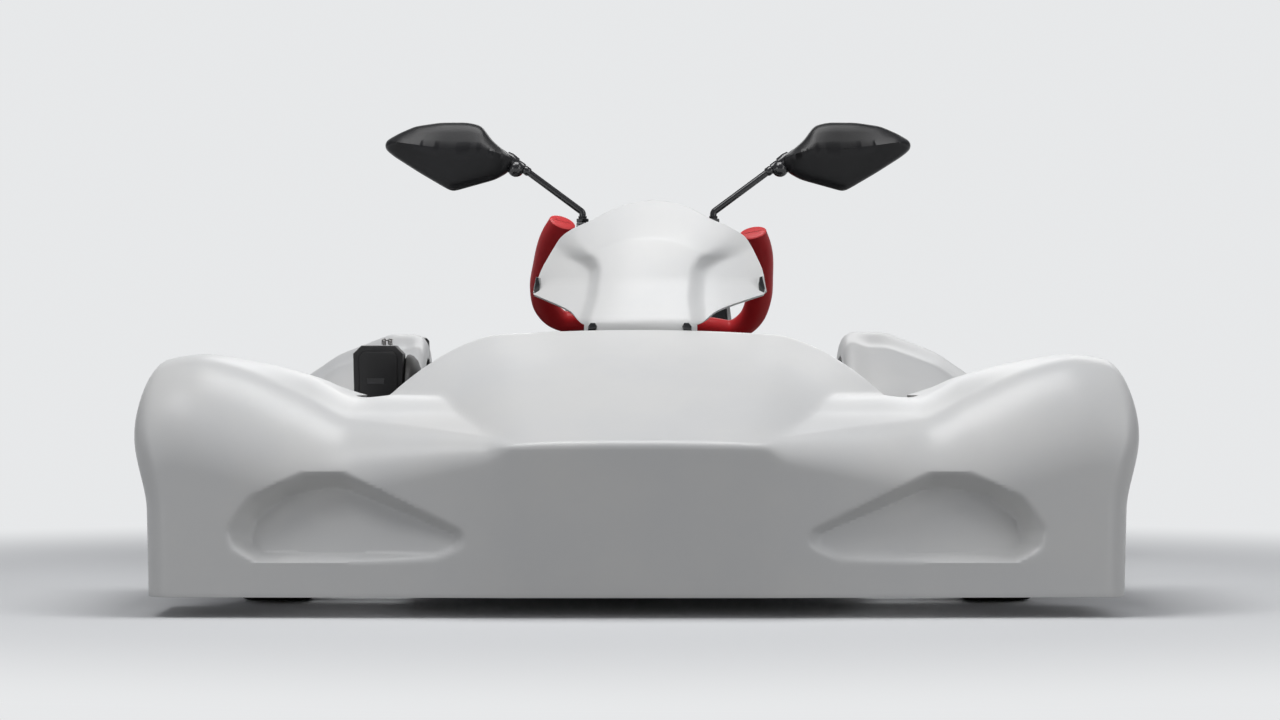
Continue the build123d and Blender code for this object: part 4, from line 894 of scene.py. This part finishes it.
for sideName, side in (("left", 1), ("right", -1)):
    def onMirror(x, z):
        return (mirror["middle"][0] + side * x, mirror["middle"][1], z)

    whole = bmesh.new()
    joinInto(whole, mirrorHead(side), 0)
    route = roundedRoute([onMirror(x, z) for x, z in mirror["stalk"]], mirror["bend"], 10)
    joinInto(whole, tubePiece(route, mirror["stalkRadius"], 18), 1)
    (kneeX, kneeZ), (headX, headZ) = mirror["stalk"][1:]
    climb = (headZ - kneeZ) / (headX - kneeX)
    collar = [onMirror(x, headZ - (headX - x) * climb) for x, _ in mirror["collar"]]
    joinInto(whole, tubePiece(collar, [r for _, r in mirror["collar"]], 20), 1)
    ball = bmesh.new()
    bmesh.ops.create_uvsphere(ball, u_segments=24, v_segments=14, radius=mirror["jointRadius"])
    bmesh.ops.translate(ball, vec=onMirror(*mirror["joint"]), verts=ball.verts)
    joinInto(whole, ball, 1)
    nut = [onMirror(kneeX, z) for z, _ in mirror["nut"]]
    joinInto(whole, tubePiece(nut, [r for _, r in mirror["nut"]], 6), 1)
    makePiece(whole, "mirror" + sideName.capitalize(), ["satinBlack", "glossBlack"],
              ["mirror_" + sideName], sharpAngle=50)


# steering wheel: red, open at the top, with its cut ends and three spokes

wheel = {
    "foot": (26, -490, 130), "along": 506.3, "clock": 4.3,
    "rim": [(143, 68), (156, 26), (162, -20), (165, -66), (157, -110), (132, -137), (92, -133), (0, -126)],
    # half widths along the rim, from an end to the bottom
    "radial": [(0, 20.5), (0.06, 21.5), (0.3, 20), (0.55, 19), (0.8, 15.5), (1, 15)],
    "thick": [(0, 13), (0.06, 14), (0.6, 13.5), (1, 12.5)],
    # insets and steps of the cut ends
    "endSteps": [(1.6, 1.2), (2.2, 0.4), (6, 0.3)],
    # angle and length, half widths at hub and rim, and the plate's heights
    "spokes": [(-12, 140), (192, 140), (270, 126)], "spokeHalf": (20, 13), "spokeUp": (-5.8, -1.2),
    # radius, heights and material of the hub's plates
    "hub": [(46, -6, -1, 0), (28.52, -30, -6.2, 2), (19.32, -1.2, 3, 2)],
    "boltCircle": 36, "boltRadius": 4, "boltUp": (-1.2, 2.2),
}
axis = np.array((0, math.sqrt(0.5), math.sqrt(0.5)))
clock = math.radians(wheel["clock"])
flatX, flatY = np.array((-1.0, 0, 0)), np.array((0, -math.sqrt(0.5), math.sqrt(0.5)))
wheelX = flatX * math.cos(clock) + flatY * math.sin(clock)
wheelY = flatY * math.cos(clock) - flatX * math.sin(clock)


def onWheel(x, y, up=0):
    middle = np.array(wheel["foot"]) + axis * (wheel["along"] + up)
    return middle + wheelX * np.asarray(x)[..., None] + wheelY * np.asarray(y)[..., None]


rimLine = smoothPath([(-x, y) for x, y in wheel["rim"]] + list(reversed(wheel["rim"][:-1])), 10)
alongRim = lengthsAlong(rimLine)
fromEnd = 1 - np.abs(alongRim / alongRim[-1] * 2 - 1)
radial = np.interp(fromEnd, *zip(*wheel["radial"]))
thick = np.interp(fromEnd, *zip(*wheel["thick"]))
onward = np.gradient(rimLine, axis=0)
onward /= np.linalg.norm(onward, axis=1)[:, None]
outward = np.stack([onward[:, 1], -onward[:, 0]], axis=1)
turn = np.linspace(0, 2 * math.pi, 29)
surface = []
for i in range(len(rimLine)):
    x = rimLine[i, 0] + outward[i, 0] * radial[i] * np.cos(turn)
    y = rimLine[i, 1] + outward[i, 1] * radial[i] * np.cos(turn)
    surface.append(onWheel(x, y) + axis * (thick[i] * np.sin(turn))[:, None])
bm = bendGrid(np.array(surface), closedRing=True)
capEnds(bm)
bmesh.ops.recalc_face_normals(bm, faces=bm.faces)
ends = [f for f in bm.faces if len(f.verts) > 4]
for f in ends:
    f.material_index = 1
for amount, depth in wheel["endSteps"]:
    bmesh.ops.inset_region(bm, faces=ends, thickness=amount, depth=depth, use_even_offset=True)
whole = bmesh.new()
joinInto(whole, bm)


def plate(outline, low, high, place, edge=1.2):
    # a flat plate cut to an outline, with softened edges
    bm = bmesh.new()
    bmesh.ops.create_circle(bm, cap_ends=True, segments=len(outline), radius=1)
    setPlaces(bm, [place(x, y, low) for x, y in outline])
    raised = bmesh.ops.extrude_face_region(bm, geom=list(bm.faces))
    top = [g for g in raised["geom"] if isinstance(g, bmesh.types.BMVert)]
    lift = Vector(place(0, 0, high)) - Vector(place(0, 0, low))
    bmesh.ops.translate(bm, vec=lift, verts=top)
    capEnds(bm)
    rimEdges = [e for e in bm.edges if any(len(f.verts) > 4 for f in e.link_faces)]
    bmesh.ops.bevel(bm, geom=rimEdges, offset=edge, offset_type="OFFSET", affect="EDGES", segments=2,
                    profile=0.5, material=-1)
    return bm


def circleLoop(radius, count, middle=(0, 0)):
    turns = np.linspace(0, 2 * math.pi, count, endpoint=False)
    return [(middle[0] + radius * math.cos(t), middle[1] + radius * math.sin(t)) for t in turns]


for radius, low, high, material in wheel["hub"]:
    joinInto(whole, plate(circleLoop(radius, 40), low, high, onWheel), material)
for angle, length in wheel["spokes"]:
    c, s = math.cos(math.radians(angle)), math.sin(math.radians(angle))
    broad, narrow = wheel["spokeHalf"]
    flank = [(30, -broad), (60, -broad + 2), (length * 0.72, -narrow), (length, -narrow - 4)]
    shape = softProfile(flank, 14, 2)
    outline = [(p, q) for p, q in shape] + [(p, -q) for p, q in shape[::-1]]
    spoke = [(p * c - q * s, p * s + q * c) for p, q in outline]
    joinInto(whole, plate(spoke, *wheel["spokeUp"], onWheel, 1), 0)
for angle in range(30, 390, 60):
    around = math.radians(angle)
    middle = (wheel["boltCircle"] * math.cos(around), wheel["boltCircle"] * math.sin(around))
    joinInto(whole, plate(circleLoop(wheel["boltRadius"], 12, middle), *wheel["boltUp"], onWheel, 0.8), 3)
makePiece(whole, "steeringWheel", ["redGrip", "gripEnd", "glossBlack", "brightSteel"],
          ["steering_wheel"], body="steering", sharpAngle=50)


# rear fenders: a dished shield over each rear tyre

fender = {
    "stations": [
        # y, crest z, shoulder z, waist z, outer z, flange bottom z
        (409, 240, 226, 216, 206, 200), (440, 318, 300, 262, 250, 262), (490, 372, 342, 285, 280, 322),
        (570, 386, 351, 296, 290, 345), (650, 376, 345, 292, 286, 334), (738, 330, 312, 280, 270, 288),
    ],
    "crestX": 420, "shoulderX": 509, "waistX": 590, "outerX": 668, "inner": 14, "outer": (8, 16, 36),
    "wall": 4, "rows": 70, "columns": 84,
    # the dish sinks in between these x and these y, from the first to the second of each pair
    "dish": 12, "dishX": ((352, 395), (560, 655)), "dishY": ((411, 450), (500, 566)),
    # inner edge and height offset of each side's shield
    "left": (346, 0), "right": (357, -4),
}


def fenderProfile(inner, crest, shoulder, waist, outer, flange):
    outside, lip = fender["outerX"], fender["inner"]
    round1, round2, drop = fender["outer"]
    points = [(inner, flange), (inner, crest - lip), (inner + lip, crest), (fender["crestX"], crest),
              (fender["shoulderX"], shoulder), (fender["waistX"], waist), (outside - round1, outer),
              (outside, outer - round2), (outside, outer - drop)]
    return softProfile(points, fender["columns"], 5)


def between(value, pairs):
    return smoothStep(value, *pairs[0]) * (1 - smoothStep(value, *pairs[1]))


stationY = [row[0] for row in fender["stations"]]
gridY = np.linspace(stationY[0], stationY[-1], fender["rows"])
for sideName, side in (("left", 1), ("right", -1)):
    innerX, lift = fender[sideName]
    profiles = np.array([fenderProfile(innerX, *row[1:]) for row in fender["stations"]])
    profiles[:, :, 1] += lift
    surface = []
    for y in gridY:
        at = np.full(fender["columns"], y)
        x, z = (monotone(stationY, profiles[:, :, k], at) for k in (0, 1))
        inwards = between(x, fender["dishX"]) * between(y, fender["dishY"])
        surface.append(np.stack([side * x, at, z - fender["dish"] * inwards], axis=1))
    bm = bendGrid(np.array(surface))
    faceAlong(bm, (0, -0.3, 1))
    makePiece(bm, "rearFender" + sideName.capitalize(), ["whitePlastic"],
              ["rear_fender_" + sideName], sharpAngle=45, thick=fender["wall"], bevel=1)


# air box with its raised front, blank patch and throttle springs, and the rounded fan shroud behind it

airBox = {
    "outline": [(-445, 250), (-384, 250), (-373, 264), (-372.4, 348), (-385, 361), (-439, 361), (-452, 348),
                (-450, 264)],
    "backY": 216, "frontY": 153, "panel": 9, "panelRise": 3.4, "softEdges": (3, 2.4, 0.3),
    "patch": [(-429, 300), (-403, 300), (-402, 309), (-430, 309)],
    "springs": [(-404, 170), (-394, 170)], "springLow": 362.6, "springTop": 371, "springRadius": 3.2,
    "springTurns": 4, "wire": 0.9, "pin": 1.4, "shroudMiddle": (215, 275),
    # x and radius round the crank line
    "shroud": [(-371.8, 0), (-371.8, 24), (-369, 28), (-369, 44), (-371.8, 48), (-371.8, 66), (-369, 71.5),
               (-365, 72), (-359, 69.5), (-352.5, 62), (-348.6, 51), (-348, 40), (-348, 0)],
}


def frontPlace(x, z, y):
    return x, y, z


whole = bmesh.new()
frontY = airBox["frontY"]
panelY = frontY - airBox["panelRise"]
boxEdge, panelEdge, patchEdge = airBox["softEdges"]
joinInto(whole, plate(airBox["outline"], airBox["backY"], frontY, frontPlace, boxEdge), 0)
inner = insetPolygon(airBox["outline"], airBox["panel"])
joinInto(whole, plate(inner, frontY + 0.4, panelY, frontPlace, panelEdge), 0)
joinInto(whole, plate(airBox["patch"], panelY + 0.3, panelY - 0.5, frontPlace, patchEdge), 1)
shroudY, shroudZ = airBox["shroudMiddle"]
bm = bmesh.new()
corners = [bm.verts.new((x, shroudY, shroudZ + r)) for x, r in airBox["shroud"]]
line = [bm.edges.new(pair) for pair in zip(corners, corners[1:])]
bmesh.ops.spin(bm, geom=corners + line, cent=(0, shroudY, shroudZ), axis=(1, 0, 0), angle=2 * math.pi,
               steps=72, use_merge=True)
bmesh.ops.remove_doubles(bm, verts=bm.verts, dist=1e-3)
joinInto(whole, bm, 0)
low, top = airBox["springLow"], airBox["springTop"]
turns = np.linspace(0, 2 * math.pi * airBox["springTurns"], 80)
for x, y in airBox["springs"]:
    coil = np.stack([x + airBox["springRadius"] * np.cos(turns), y + airBox["springRadius"] * np.sin(turns),
                     np.linspace(low, top, 80)], axis=1)
    joinInto(whole, tubePiece(coil, airBox["wire"], 8), 2)
    joinInto(whole, tubePiece([(x, y, z) for z in (low - 1.1, low + 3.4, top + 1)], airBox["pin"], 10), 2)
first, last = [(x, y, top + 0.6) for x, y in airBox["springs"]]
sag = ((first[0] + last[0]) / 2, first[1], top - 2)
joinInto(whole, tubePiece(smoothPath([first, sag, last], 6), 1.0, 8), 2)
makePiece(whole, "airBoxAndShroud", ["blackPlastic", "agedPatch", "brightSteel"],
          ["air_box_and_shroud"])


# black clips at the tips of the fairing's wings, and the mounts at its foot

clips = {
    "wing": [(162.5, 457), (166.4, 440), (165, 433), (158, 436), (157, 446), (159, 456)],
    "wingDepth": (-12, 9),
    "foot": [(73, 379), (62, 379), (60, 385), (63, 390), (69, 390), (73, 385)],
    "footDepth": (-9, 6),
}
whole = bmesh.new()
for side in (1, -1):
    for name in ("wing", "foot"):
        points = np.array(clips[name], float) * (side, 1)
        x, z = points.mean(axis=0)
        rest = fairingDepth(np.array([abs(x)]), np.array([z]))[0]
        if name == "foot":
            rest += fairing["rise"] / 2
        front, rear = clips[name + "Depth"]

        def clipPlace(px, pz, depth):
            return turnedFairing(px, rest + depth, pz)

        joinInto(whole, plate(points, rear, front, clipPlace), 0)
makePiece(whole, "fairingClips", ["glossBlack"])
